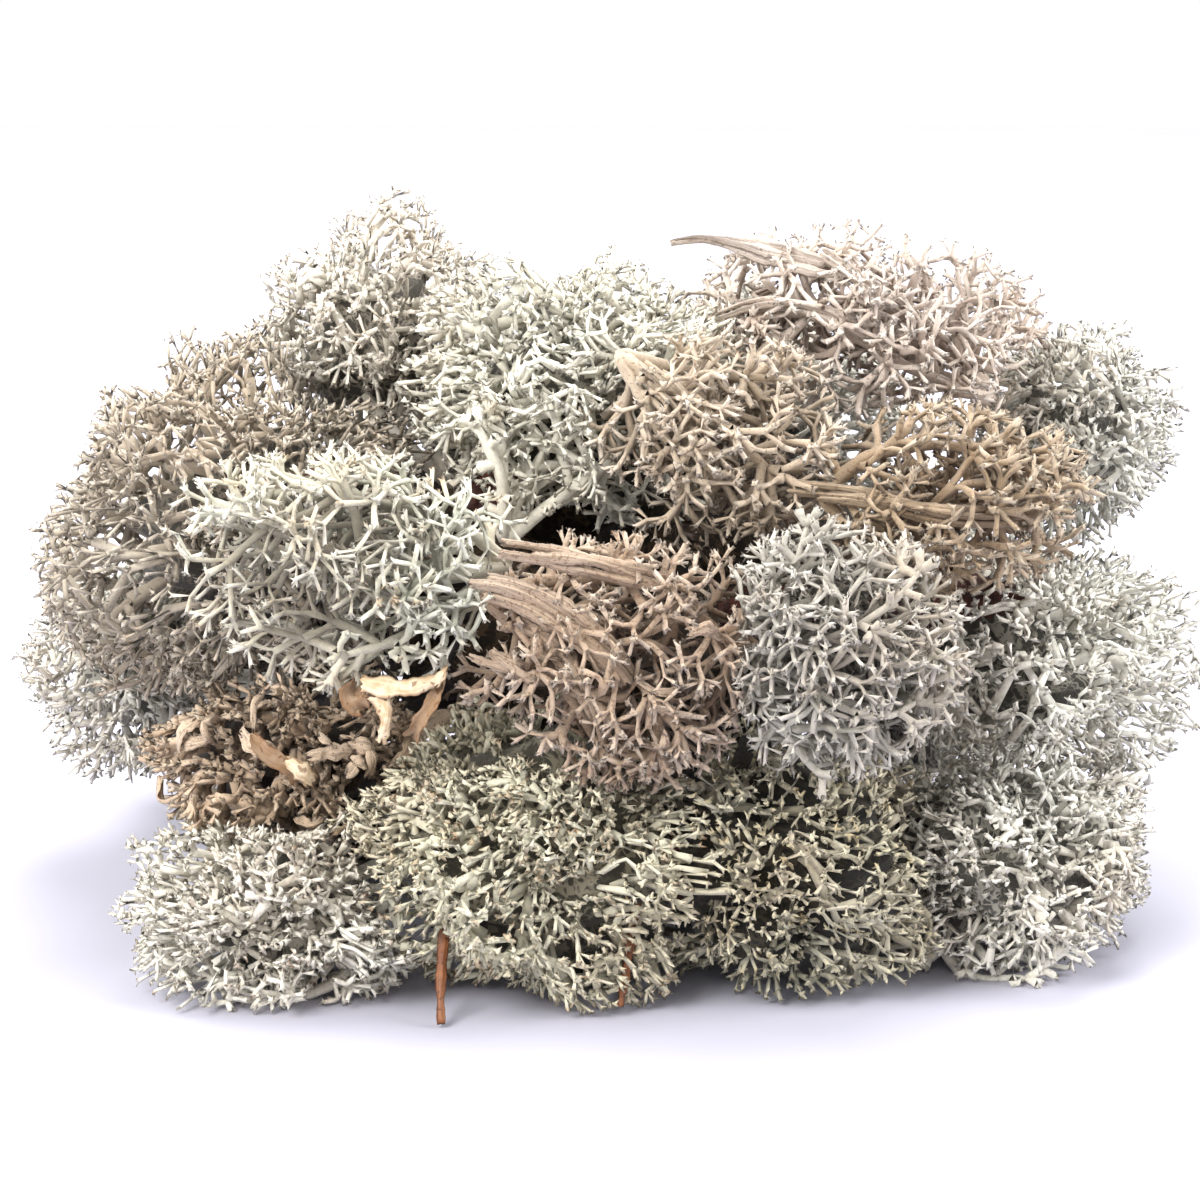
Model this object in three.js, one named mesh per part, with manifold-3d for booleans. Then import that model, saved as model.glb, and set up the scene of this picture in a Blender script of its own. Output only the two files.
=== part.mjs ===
// A clump of dried reindeer lichen (Cladonia) lying on its own tips, in millimetres, +Z up.
// It is a loose heap of separate lichen cushions. Each cushion is one thallus: a few hollow stems that
// rise from one foot and fork again and again until they end in a dome of fine points. Between the
// cushions lie the scraps that come up with them from the forest floor: bark, needles and a twig.
// The origin is the middle of the clump's box, on the surface that it lies on. -Y is its front. The tables
// below are in a frame of their own, BOX_MIDDLE away from that.
import * as THREE from "three";
import { mergeVertices } from "three/addons/utils/BufferGeometryUtils.js";
import Module from "manifold-3d";

const wasm = await Module();
wasm.setup();

// ---- driving dimensions ----
const STEM_RADIUS = 1.15; // a main stem at the cushion's foot, and at its far end
const STEM_END_RADIUS = 0.8;
const STEM_SPREAD = 0.3; // how far the outer stems end from the middle one, as a share of the head
const FORK_RADII = [0.95, 0.8, 0.6]; // a branch at its start, at its first fork and at its second
const FORK_LENGTHS = [0.22, 0.2, 0.2]; // their usual lengths, as a share of the head's mean half width
const LENGTH_RANGE = [0.7, 1.5]; // the shortest and longest that a branch wants to be, in usual lengths
const SHORTEST = 0.35; // one that has less room than this many usual lengths doesn't grow
const STRETCH = 2.5; // usual lengths that a branch without forks grows to lean on a neighbour
const FORK_DEPTHS = [0.75, 0.87, 0.98]; // how far out in a head each order of branches ends
const FORK_LEAN = 0.75; // angle between a branch and those that it forks into, in radians
const FORK_SWAY = 0.3; // how far such a branch may lean from that
const HEAD_SWAY = 0.45; // how far a branch on a head may lean from straight out
const HUB_RISE = 0.3; // how far the crotch of a fork stands out, as a share of the branch's radius
const SPRAY_ROOT = 0.6; // a spray's root inside its stem, as a share of its radius
const END_SPREAD = 0.8; // how much sprays at a stem's end point ahead, against 1 to the side
const SIDE_SPREAD = 0.35; // the same for those along it
const CORE_SHARE = 0.6; // the dense middle of a head, as a share of its half widths
const LIT = 0.8; // from this much light on, a branch forks twice
const DIM = 0.12; // from this much light on, it forks once, and in less it doesn't fork
const SHADED_MIDDLE = [0, 2, 26]; // the light falls on the clump from all round, away from here
const CROWDED = 0.85; // a branch that ends this deep in another head forks no more
const GAP = 0.36; // air kept between two pieces that touch
const OWN_GAP = 0.2; // air kept between two branches of one cushion
const FAR = 4; // air wider than this isn't measured
const SEAT = 0.32; // air between a scrap and the branches that it lies against
const SEAT_ERROR = 0.01;
const SLIDE = 8; // furthest that a scrap slides until it lies against them
const LANE = 1.5; // widest step between the rods that mark the space of a flat scrap
const SKIM = 0.05; // what those rods stand proud of the scrap
const BOX_MIDDLE = [0.25, 1.25, 0]; // where the box's middle comes out, which becomes the origin
const FLAT_FOOT = 0.55; // height of a stem's middle where it lies pressed on the surface
const LOWEST = 0.3; // height of a branch's end that meets the surface
const SMOOTHING = 0.05; // corners that stand out less than this are left out
const TRIES = 8; // ways tried for each branch
const CUTS = 8; // halvings that find where a branch has to stop
const SEED = 101; // the first cushion's stream of random numbers, and the step to the next one's
const SEED_STEP = 37;

// The finish of each kind of piece.
const LOOKS = {
  fresh: { color: 0xc9cdbd, roughness: 0.95, metalness: 0 },
  grey: { color: 0xb5b2a6, roughness: 0.95, metalness: 0 },
  tan: { color: 0xa58b70, roughness: 0.95, metalness: 0 },
  brown: { color: 0x8a6e56, roughness: 0.95, metalness: 0 },
  paper: { color: 0xc09b74, roughness: 0.8, metalness: 0 },
  bark: { color: 0x3f1d14, roughness: 0.85, metalness: 0 },
  needle: { color: 0x8a5a33, roughness: 0.7, metalness: 0 },
};

// Each cushion: its finish, where its stems come together, the middle of its head and the half widths
// of its head. Some have the courses that further stems take. An open one has no dense middle.
const CUSHIONS = [
  {
    name: "front_cushion", look: "fresh",
    foot: [0, -14, 24], head: [-6, -34, 17], half: [27.5, 19, 21],
  },
  {
    name: "low_left_cushion", look: "fresh",
    foot: [-24, -23, 12], head: [-38, -36, 9.5], half: [21.5, 15.5, 12],
    courses: [[[-28, -38, 4], [-35, -42, FLAT_FOOT], [-43, -43, FLAT_FOOT]]],
  },
  {
    name: "low_back_left_cushion", look: "grey",
    foot: [-14, -2, 14], head: [-34, 1, 12], half: [21.5, 20.5, 15.5],
  },
  {
    name: "brown_left_cushion", look: "brown",
    foot: [-18, -12, 27], head: [-38, -20, 24], half: [20.5, 16.5, 13],
  },
  {
    name: "grey_left_cushion", look: "grey",
    foot: [-18, 0, 44], head: [-43, -7, 50], half: [27.5, 25, 23.5],
  },
  {
    name: "far_left_cushion", look: "fresh",
    foot: [-40, 12, 24], head: [-60, 13, 27], half: [15.5, 17.5, 16.5],
  },
  {
    name: "top_left_cushion", look: "grey",
    foot: [-18, 6, 52], head: [-28, 9, 71], half: [17.5, 17.5, 17.5],
  },
  {
    name: "bright_spray", look: "fresh", open: true,
    foot: [-10, -33, 52], head: [-30, -39, 53], half: [25, 10.5, 14.5],
    courses: [
      [[-18, -38, 51.6], [-25, -41, 54], [-34, -42, 58]],
      [[-17, -36, 47], [-23, -41, 43]],
      [[-15, -36, 57], [-22, -38, 60], [-30, -40, 62]],
    ],
  },
  {
    name: "top_middle_cushion", look: "fresh",
    foot: [-11, -22, 52], head: [-2, -9, 68], half: [23.5, 16.5, 17.5],
    courses: [
      [[-9, -21, 57], [-6, -20, 63]],
      [[-11, -24, 60], [-14, -24, 67]],
      [[-2, -21, 59], [5, -20, 64], [7, -17, 70]],
    ],
  },
  {
    name: "tan_middle_tangle", look: "tan", open: true,
    foot: [-13, -42, 50.5], head: [4, -39, 41], half: [22.5, 12, 16.5],
    courses: [
      [[-5, -44, 49], [3, -46, 44], [8, -45, 37]],
      [[-7, -43, 45], [-2, -45, 38], [1, -43, 32]],
      [[-4, -42, 52.5], [7, -41, 51.5], [15, -42, 46]],
    ],
  },
  {
    name: "tan_ridge", look: "tan", open: true,
    foot: [3, -25, 76], head: [16, -23, 65], half: [19, 13, 13],
    courses: [
      [[9.5, -27, 71.5], [16, -29, 67], [21, -30, 63]],
      [[7, -28, 69], [11, -30, 63]],
      [[11, -20, 73], [19, -19, 71.5]],
    ],
  },
  {
    name: "tan_right_tangle", look: "tan", open: true,
    foot: [27, -31, 60], head: [42, -25, 58], half: [20.5, 12, 12],
    courses: [
      [[34, -32, 59], [43, -32, 57.5], [52, -29, 57]],
      [[33, -28, 64], [40, -26, 65], [47, -23, 64]],
      [[33, -31, 54], [42, -31, 51.5]],
    ],
  },
  {
    name: "tan_top_right", look: "tan", open: true,
    foot: [51, 4, 64], head: [33, 1, 73], half: [26.5, 15.5, 14.5],
    courses: [
      [[41, -2, 75.5], [31, -2, 82], [21, -2, 84]],
      [[39, -8, 71], [28, -8, 77], [18, -7, 78]],
      [[46, 8, 74], [48, 9, 77]],
    ],
  },
  {
    name: "grey_far_right", look: "fresh",
    foot: [50, 9, 46.5], head: [61.4, 12.6, 58.4], half: [14.5, 17.5, 15.5],
  },
  {
    name: "right_cushion", look: "grey",
    foot: [36, -4, 36], head: [54, -6, 33], half: [22.5, 22.5, 16.5],
  },
  {
    name: "low_right_cushion", look: "grey",
    foot: [34, -14, 21], head: [51, -22, 12], half: [22.5, 22.5, 15],
    courses: [[[40, -24, 9], [45, -33, FLAT_FOOT], [53, -36, FLAT_FOOT]]],
  },
  {
    name: "pale_right_spray", look: "fresh",
    foot: [17, -31, 45], head: [29, -41, 44], half: [15.5, 12, 16.5],
  },
  {
    name: "low_middle_cushion", look: "grey",
    foot: [16, -16, 22], head: [22, -34, 14], half: [20.5, 17.5, 17.5],
  },
  {
    name: "middle_back_cushion", look: "grey",
    foot: [16, 20, 48], head: [21, 24, 58], half: [22.5, 20.5, 17.5],
  },
  {
    name: "back_left_cushion", look: "grey",
    foot: [-24, 22, 34], head: [-40, 30.5, 28], half: [26.5, 23.5, 25],
  },
  {
    name: "back_middle_cushion", look: "tan",
    foot: [-2, 19, 28], head: [-3, 34.5, 20], half: [25, 20.5, 23.5],
    courses: [[[1, 27, 12], [4, 36, FLAT_FOOT], [6, 45, FLAT_FOOT]]],
  },
  {
    name: "back_right_cushion", look: "fresh",
    foot: [26, 16, 30], head: [40, 27, 24], half: [26.5, 26.5, 26.5],
  },
  {
    name: "back_top_cushion", look: "fresh",
    foot: [-10, 20, 48], head: [-10, 30, 54], half: [21.5, 20.5, 16.5],
  },
  {
    name: "heart_cushion", look: "brown",
    foot: [4, 6, 18], head: [4, 6, 38], half: [32, 19, 26],
  },
];

// Each scrap: its finish, the points it runs through, its width at each, its thickness, how far it is
// bowed across its width, the way that its flat side faces and the way that it is pressed into the clump.
const SCRAPS = [
  {
    name: "bark_slab", look: "bark", thickness: 1.6, bow: 0.9,
    face: [0.15, -1, 0.35], press: [0, 0.4, -1],
    points: [[15, -25, 46], [25, -23, 47], [36, -21, 47.2], [46, -19, 46.6], [54, -18, 46]],
    widths: [4, 9, 10, 8, 3],
  },
  {
    name: "bark_chip", look: "bark", thickness: 1.2, bow: 0.5,
    face: [-0.2, -1, 0.1], press: [1, 0.3, 0],
    points: [[-21.4, -19.6, 54], [-18.4, -18, 57], [-16.4, -17.5, 61]],
    widths: [4, 7, 4],
  },
  {
    name: "bark_sliver", look: "bark", thickness: 1, bow: 0.2,
    face: [0, -1, 0], press: [-0.2, 1, 0],
    points: [[11.4, -44.5, 11], [11, -45.3, 15], [10.4, -44.5, 21]],
    widths: [1, 1.5, 1],
  },
  {
    name: "needle_left", look: "needle", thickness: 0.9, bow: 0,
    face: [0, -1, 0], press: [0.3, 1, 0],
    points: [[-18.2, -52, 0.5], [-18.3, -49, 4.5], [-18, -44.6, 10]],
    widths: [0.9, 1.2, 1.2],
  },
  {
    name: "needle_right", look: "needle", thickness: 0.9, bow: 0,
    face: [0, -1, 0], press: [-0.2, 1, 0],
    points: [[4.1, -52, 1.2], [5.2, -49.5, 7], [6.4, -46, 14]],
    widths: [0.9, 1.2, 1.3],
  },
  {
    name: "brown_twig", look: "needle", thickness: 0.9, bow: 0.3,
    face: [-0.3, -1, 0.3], press: [0, 1, -0.2],
    points: [[-40.5, -25.5, 55], [-36.5, -24.5, 58.5], [-33, -21.5, 62]],
    widths: [1, 1.6, 1],
  },
  {
    name: "curled_scrap", look: "paper", thickness: 0.6, bow: 0.8,
    face: [0, -0.8, 1], press: [0, 1, -0.4],
    points: [[-27, -45, 33.5], [-27.2, -45.5, 38], [-24, -45.5, 41], [-20, -45, 40], [-19, -45, 35]],
    widths: [2, 3, 3.6, 3, 2],
  },
  {
    name: "film_scrap", look: "paper", thickness: 0.6, bow: 0.4,
    face: [0, -1, 0.3], press: [0, 1, -0.2],
    points: [[-40, -34.2, 30], [-37.5, -35.2, 28.5], [-35, -34.7, 26]],
    widths: [2, 4, 3],
  },
];

// ---- small vector helpers ----
const add = (a, b) => [a[0] + b[0], a[1] + b[1], a[2] + b[2]];
const sub = (a, b) => [a[0] - b[0], a[1] - b[1], a[2] - b[2]];
const times = (a, s) => [a[0] * s, a[1] * s, a[2] * s];
const stretch = (a, b) => [a[0] * b[0], a[1] * b[1], a[2] * b[2]];
const dot = (a, b) => a[0] * b[0] + a[1] * b[1] + a[2] * b[2];
const cross = (a, b) => [a[1] * b[2] - a[2] * b[1], a[2] * b[0] - a[0] * b[2], a[0] * b[1] - a[1] * b[0]];
const size = (a) => Math.sqrt(dot(a, a));
const unit = (a) => times(a, 1 / (size(a) || 1));
const mix = (a, b, t) => add(times(a, 1 - t), times(b, t));
const clamp = (x) => Math.min(1, Math.max(0, x));

// A repeatable stream of numbers from 0 to 1.
function seeded(seed) {
  let state = seed >>> 0;
  return () => {
    state = (state + 0x6d2b79f5) >>> 0;
    let t = Math.imul(state ^ (state >>> 15), state | 1);
    t ^= t + Math.imul(t ^ (t >>> 7), t | 61);
    return ((t ^ (t >>> 14)) >>> 0) / 4294967296;
  };
}

// Two directions square to a given one.
function square(direction) {
  const helper = Math.abs(direction[2]) < 0.9 ? [0, 0, 1] : [1, 0, 0];
  const first = unit(cross(direction, helper));
  return [first, cross(direction, first)];
}

// The shortest distance between two straight stretches, p to q and r to s.
function apart(p, q, r, s) {
  const u = sub(q, p);
  const v = sub(s, r);
  const w = sub(p, r);
  const a = dot(u, u);
  const b = dot(u, v);
  const c = dot(v, v);
  const d = dot(u, w);
  const e = dot(v, w);
  const den = a * c - b * b;
  let t1 = den > 1e-9 ? clamp((b * e - c * d) / den) : 0;
  const t2 = c > 1e-9 ? clamp((b * t1 + e) / c) : 0;
  t1 = a > 1e-9 ? clamp((b * t2 - d) / a) : 0;
  return size(sub(add(w, times(u, t1)), times(v, t2)));
}

// A geometry with nothing but its places, in which faces that meet share their corners.
function bareOf(geometry) {
  const bare = geometry.clone();
  bare.deleteAttribute("normal");
  bare.deleteAttribute("uv");
  return mergeVertices(bare, 1e-4);
}

// ---- the space that is taken ----
// A rod is one straight stretch of a branch: its owner, its two ends and its radius. A core is the dense
// middle of a head: its owner, its middle, its half widths, its corners and its faces.
const rods = [];
const cores = [];

// How far out a point lies in an ellipsoid: 0 at its middle and 1 on its outside.
const depthIn = (p, middle, half) => Math.hypot(...sub(p, middle).map((x, i) => x / half[i]));

// A core is a ball of twenty faces, turned at random and stretched to the shape of its head.
function addCore(cushion, draw) {
  const half = times(cushion.half, CORE_SHARE);
  const turns = [1, 2, 3].map(() => 2 * Math.PI * draw());
  const ball = bareOf(new THREE.IcosahedronGeometry(1, 0));
  ball.applyMatrix4(new THREE.Matrix4().makeRotationFromEuler(new THREE.Euler(...turns)));
  const spots = ball.attributes.position;
  const reaches = [];
  for (let i = 0; i < spots.count; i++) {
    reaches.push(stretch([spots.getX(i), spots.getY(i), spots.getZ(i)], half));
  }
  const faces = [];
  for (let i = 0; i < ball.index.count; i += 3) faces.push([...ball.index.array.slice(i, i + 3)]);
  cores.push({ owner: cushion.name, middle: cushion.head, half, reaches, faces });
}

// Two heads that press on each other draw back from the plane between them. This is how much of a
// core's reach in one direction is left.
function roomFor(core, reachOut) {
  let share = 1;
  for (const other of cores) {
    if (other === core) continue;
    const between = sub(other.middle, core.middle);
    const way = unit(between);
    const own = 1 / size(way.map((x, i) => x / core.half[i]));
    const its = 1 / size(way.map((x, i) => x / other.half[i]));
    const plane = (size(between) * own) / (own + its) - GAP / 2;
    const along = dot(reachOut, way);
    if (along > plane) share = Math.min(share, plane / along);
  }
  return share;
}

// Places a core's corners, and finds the plane of each of its faces.
function finishCore(core) {
  core.corners = core.reaches.map((out) => add(core.middle, times(out, roomFor(core, out))));
  core.planes = core.faces.map((face) => {
    const [a, b, c] = face.map((k) => core.corners[k]);
    const normal = unit(cross(sub(b, a), sub(c, a)));
    return { normal, height: dot(normal, a) };
  });
}

// The air between a stretch and a core, or a little less.
function airToCore(core, a, b, radius) {
  const steps = Math.ceil(size(sub(b, a)));
  let nearest = FAR;
  for (let k = 0; k <= steps; k++) {
    const p = mix(a, b, k / steps);
    const air = Math.max(...core.planes.map(({ normal, height }) => dot(p, normal) - height));
    nearest = Math.min(nearest, air - radius);
  }
  return nearest;
}

// Marks the space of a new rod as taken.
function claim(owner, a, b, radius) {
  rods.push({ owner, a, b, radius, middle: mix(a, b, 0.5), reach: size(sub(b, a)) / 2 + radius });
}

// The air round a new rod, among those of other owners and among its own that don't meet it at joint.
function airRound(owner, a, b, radius, joint) {
  const air = { others: FAR, own: FAR };
  const middle = mix(a, b, 0.5);
  const ownReach = size(sub(b, a)) / 2 + radius;
  for (const core of cores) {
    const away = size(sub(middle, core.middle)) - ownReach - Math.max(...core.half);
    if (core.owner === owner || away > air.others) continue;
    air.others = Math.min(air.others, airToCore(core, a, b, radius));
  }
  for (const rod of rods) {
    const side = rod.owner === owner ? "own" : "others";
    if (size(sub(middle, rod.middle)) - ownReach - rod.reach > air[side]) continue;
    if (side === "own" && (rod.a === joint || rod.b === joint)) continue;
    air[side] = Math.min(air[side], apart(a, b, rod.a, rod.b) - radius - rod.radius);
  }
  return air;
}

// Whether a point lies deep in the head of another cushion.
const isCrowded = (cushion, p) =>
  CUSHIONS.some((other) => other !== cushion && depthIn(p, other.head, other.half) < CROWDED);

// ---- stems ----
// Three stems run from the foot into the middle of the head, a little apart.
function innerCourses({ foot, head, half, courses }) {
  const middle = [mix(foot, head, 0.5), head];
  if (courses) return [middle];
  const [s1, s2] = square(unit(sub(head, foot)));
  const asides = [s1, times(s1, -1)].map((way) => {
    const aside = stretch(add(way, times(s2, 0.5)), half);
    const end = add(mix(foot, head, 0.75), times(aside, STEM_SPREAD));
    return [add(mix(foot, end, 0.5), times(way, STEM_RADIUS)), end];
  });
  return [middle, ...asides];
}

// A stem along a course. An open stem has buds at each of its bends, and runs on into a branch.
function growStem(plant, course, open) {
  const { cushion, stems, buds } = plant;
  const points = [cushion.foot];
  const radii = [STEM_RADIUS];
  for (const [k, b] of course.entries()) {
    const a = points[k];
    if (airRound(cushion.name, a, b, STEM_RADIUS, a).others < GAP) break;
    claim(cushion.name, a, b, STEM_RADIUS);
    points.push(b);
    radii.push(STEM_RADIUS + ((STEM_END_RADIUS - STEM_RADIUS) * (k + 1)) / course.length);
    if (open) buds.push({ joint: b, heading: unit(sub(b, a)), last: k === course.length - 1 });
  }
  if (points.length > 1) stems.push({ points, radii });
}

// ---- the branching rule ----
// A skin is the outside of what grows together: a list of corners, and of triangles between them.
const newSkin = () => ({ corners: [], faces: [] });

function corner(skin, p) {
  skin.corners.push(p);
  return skin.corners.length - 1;
}

// The six triangles between two rings of three corners.
function band(skin, from, to) {
  for (let k = 0; k < 3; k++) {
    const n = (k + 1) % 3;
    skin.faces.push(from[k], from[n], to[n], from[k], to[n], to[k]);
  }
}

// A ring of three corners square to a heading, each turned the way of the base's corner.
function ringOver(skin, base, joint, middle, heading, radius) {
  return base.map((i) => {
    const out = sub(skin.corners[i], joint);
    return corner(skin, add(middle, times(unit(sub(out, times(heading, dot(out, heading)))), radius)));
  });
}

// The length at which a stretch from a joint comes to a depth in the cushion's head.
function lengthTo(cushion, joint, way, depth) {
  const p = sub(joint, cushion.head).map((x, i) => x / cushion.half[i]);
  const d = way.map((x, i) => x / cushion.half[i]);
  const b = dot(p, d);
  const gone = b * b - dot(d, d) * (dot(p, p) - depth * depth);
  return gone > 0 ? (Math.sqrt(gone) - b) / dot(d, d) : 0;
}

// How often a branch forks that leaves a joint with a heading, by the light that it gets.
function forksIn(joint, heading) {
  const light = dot(unit(sub(joint, SHADED_MIDDLE)), heading);
  if (light > LIT) return 2;
  return light > DIM ? 1 : 0;
}

// The best way for a branch to leave a joint near a heading, or null where none is free.
function reach(plant, { joint, heading, order, forks, sway }) {
  const { cushion, draw } = plant;
  const depth = FORK_DEPTHS[forks === 0 ? FORK_DEPTHS.length - 1 : order];
  const [s1, s2] = square(heading);
  const usual = (FORK_LENGTHS[order] * (cushion.half[0] + cushion.half[1] + cushion.half[2])) / 3;
  const radius = FORK_RADII[order];
  let best = null;
  for (let i = 0; i < TRIES; i++) {
    const turn = 2 * Math.PI * draw();
    const lean = sway * Math.sqrt(draw());
    const across = add(times(s1, Math.cos(turn)), times(s2, Math.sin(turn)));
    const way = unit(add(times(heading, Math.cos(lean)), times(across, Math.sin(lean))));
    const wanted = lengthTo(cushion, joint, way, depth) * (0.9 + 0.2 * draw());
    let far = Math.min(LENGTH_RANGE[1], Math.max(LENGTH_RANGE[0], wanted / usual)) * usual;
    const airAt = (length) => airRound(cushion.name, joint, add(joint, times(way, length)), radius, joint);
    const isFree = (air) => air.others >= GAP && air.own >= OWN_GAP;
    let air = airAt(far);
    // One without forks stretches to lean on a neighbour. One that meets a neighbour stops just short.
    if (forks === 0 && isFree(air) && airAt(STRETCH * usual).others < GAP) far = STRETCH * usual;
    if (joint[2] + way[2] * far < LOWEST) far = Math.max(0, (LOWEST - joint[2]) / way[2]);
    air = airAt(far);
    if (!isFree(air)) {
      let low = 0;
      let high = far;
      for (let cut = 0; cut < CUTS; cut++) {
        far = (low + high) / 2;
        air = airAt(far);
        if (isFree(air)) low = far;
        else high = far;
      }
      far = low;
      air = airAt(far);
    }
    if (!isFree(air) || far < SHORTEST * usual) continue;
    const score = far / usual + 0.1 * air.own - 0.3 * lean;
    if (!best || score > best.score) best = { score, way, end: add(joint, times(way, far)) };
  }
  return best;
}

// A branch that grows from a base of three corners and forks until it ends in points.
function sprout(plant, skin, base, start) {
  const { cushion } = plant;
  const { joint, order, forks } = start;
  const found = reach(plant, start);
  if (!found) {
    skin.faces.push(...base);
    return false;
  }
  const { way, end } = found;
  claim(cushion.name, joint, end, FORK_RADII[order]);
  if (forks === 0 || isCrowded(cushion, end)) {
    const room = way[2] < 0 ? (LOWEST - end[2]) / way[2] : Infinity;
    const tip = corner(skin, add(end, times(way, Math.min(FORK_RADII[order], room))));
    for (let k = 0; k < 3; k++) skin.faces.push(base[k], base[(k + 1) % 3], tip);
    return true;
  }
  const ring = ringOver(skin, base, joint, end, way, FORK_RADII[order + 1]);
  band(skin, base, ring);
  const hub = corner(skin, add(end, times(way, HUB_RISE * FORK_RADII[order + 1])));
  for (let k = 0; k < 3; k++) {
    const pair = [ring[k], ring[(k + 1) % 3]];
    const side = unit(sub(mix(...pair.map((i) => skin.corners[i]), 0.5), end));
    const next = unit(add(times(way, Math.cos(FORK_LEAN)), times(side, Math.sin(FORK_LEAN))));
    const child = { joint: end, heading: next, order: order + 1, forks: forks - 1, sway: FORK_SWAY };
    sprout(plant, skin, [...pair, hub], child);
  }
  return true;
}

// The branches that stand out of the faces of a core.
function growHead(core, plant) {
  const skin = newSkin();
  skin.corners.push(...core.corners);
  for (const base of core.faces) {
    const [a, b, c] = base.map((k) => core.corners[k]);
    const joint = times(add(add(a, b), c), 1 / 3);
    const heading = unit(cross(sub(b, a), sub(c, a)));
    const cornerCount = skin.corners.length;
    const faceCount = skin.faces.length;
    const ring = ringOver(skin, base, joint, joint, heading, FORK_RADII[0]);
    band(skin, base, ring);
    const start = { joint, heading, order: 0, forks: forksIn(joint, heading), sway: HEAD_SWAY };
    if (!sprout(plant, skin, ring, start)) {
      skin.corners.length = cornerCount;
      skin.faces.length = faceCount;
      skin.faces.push(...base);
    }
  }
  plant.skins.push(skin);
}

// Branches at the buds of open stems. Each is a skin of its own, whose root is inside the stem.
function growSprays(plant) {
  const { buds, draw, skins } = plant;
  for (const { joint, heading, last } of buds) {
    const count = last ? 3 : 2;
    const [s1, s2] = square(heading);
    const first = 2 * Math.PI * draw();
    for (let i = 0; i < count; i++) {
      const turn = first + (2 * Math.PI * i) / count;
      const across = add(times(s1, Math.cos(turn)), times(s2, Math.sin(turn)));
      const way = unit(add(times(heading, last ? END_SPREAD : SIDE_SPREAD), across));
      const skin = newSkin();
      const [t1, t2] = square(way);
      const base = [0, 1, 2].map((k) => {
        const angle = (2 * Math.PI * k) / 3;
        const out = add(times(t1, Math.cos(angle)), times(t2, Math.sin(angle)));
        return corner(skin, add(joint, times(out, SPRAY_ROOT * FORK_RADII[0])));
      });
      skin.faces.push(base[0], base[2], base[1]);
      const forks = Math.min(forksIn(joint, way), last ? 2 : 1);
      const start = { joint, heading: way, order: last ? 0 : 1, forks, sway: HEAD_SWAY };
      if (sprout(plant, skin, base, start)) skins.push(skin);
    }
  }
}

// ---- solids ----
function solidOf(geometry) {
  const bare = bareOf(geometry);
  return new wasm.Manifold(
    new wasm.Mesh({
      numProp: 3,
      vertProperties: bare.attributes.position.array,
      triVerts: new Uint32Array(bare.index.array),
    }),
  );
}

function geometryOf(solid) {
  const mesh = solid.getMesh();
  const position = new Float32Array(mesh.numVert * 3);
  for (let i = 0; i < mesh.numVert; i++) {
    position.set(mesh.vertProperties.subarray(i * mesh.numProp, i * mesh.numProp + 3), i * 3);
  }
  const geometry = new THREE.BufferGeometry();
  geometry.setAttribute("position", new THREE.BufferAttribute(position, 3));
  geometry.setIndex(new THREE.BufferAttribute(new Uint32Array(mesh.triVerts), 1));
  geometry.computeVertexNormals();
  return geometry;
}

function skinSolid(skin) {
  const geometry = new THREE.BufferGeometry();
  geometry.setAttribute("position", new THREE.BufferAttribute(new Float32Array(skin.corners.flat()), 3));
  geometry.setIndex(new THREE.BufferAttribute(new Uint32Array(skin.faces), 1));
  return solidOf(geometry);
}

// The ways across a course at each of its points. u and v are square to it, and u stays near the way
// given.
function framesOf(points, way) {
  const last = points.length - 1;
  const frames = [];
  let u = way;
  for (let i = 0; i <= last; i++) {
    const before = unit(sub(points[Math.max(i, 1)], points[Math.max(i, 1) - 1]));
    const after = unit(sub(points[Math.min(i, last - 1) + 1], points[Math.min(i, last - 1)]));
    const tangent = unit(add(before, after));
    u = unit(sub(u, times(tangent, dot(u, tangent))));
    frames.push([u, cross(tangent, u)]);
  }
  return frames;
}

// A five-sided tube bent along a stem: each ring of a cylinder goes to one of the stem's points.
function stemSolid({ points, radii }) {
  const steps = points.length - 1;
  const frames = framesOf(points, square(unit(sub(points[1], points[0])))[0]);
  const tube = new THREE.CylinderGeometry(1, 1, steps, 5, steps);
  const spots = tube.attributes.position;
  for (let i = 0; i < spots.count; i++) {
    const ring = Math.round(spots.getY(i) + steps / 2);
    const [u, v] = frames[ring];
    const out = add(times(u, -spots.getX(i)), times(v, spots.getZ(i)));
    spots.setXYZ(i, ...add(points[ring], times(out, radii[ring])));
  }
  return solidOf(tube);
}

// Where a scrap's material lies: at ring i, across its width from -0.5 to 0.5, and along its thickness.
function onScrap(scrap, frames, i, across, through) {
  const [u, v] = frames[i];
  const rise = scrap.bow * (0.5 - 4 * across * across) + scrap.thickness * through;
  return add(scrap.points[i], add(times(v, -across * scrap.widths[i]), times(u, rise)));
}

// A box bent into a strip along the scrap's points.
function scrapSolid(scrap) {
  const steps = scrap.points.length - 1;
  const frames = framesOf(scrap.points, unit(scrap.face));
  const box = new THREE.BoxGeometry(1, 1, steps, scrap.bow ? 4 : 1, 1, steps);
  const spots = box.attributes.position;
  for (let i = 0; i < spots.count; i++) {
    const ring = Math.round(spots.getZ(i) + steps / 2);
    spots.setXYZ(i, ...onScrap(scrap, frames, ring, spots.getX(i), spots.getY(i)));
  }
  return solidOf(box);
}

// Slides a solid until it all but touches the heap.
function settled(solid, way, heap) {
  let moved = 0;
  let gap = SLIDE;
  while (gap - SEAT > SEAT_ERROR && moved < SLIDE) {
    gap = solid.translate(times(way, moved)).minGap(heap, SLIDE);
    moved += gap - SEAT;
  }
  return solid.translate(times(way, moved));
}

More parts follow.
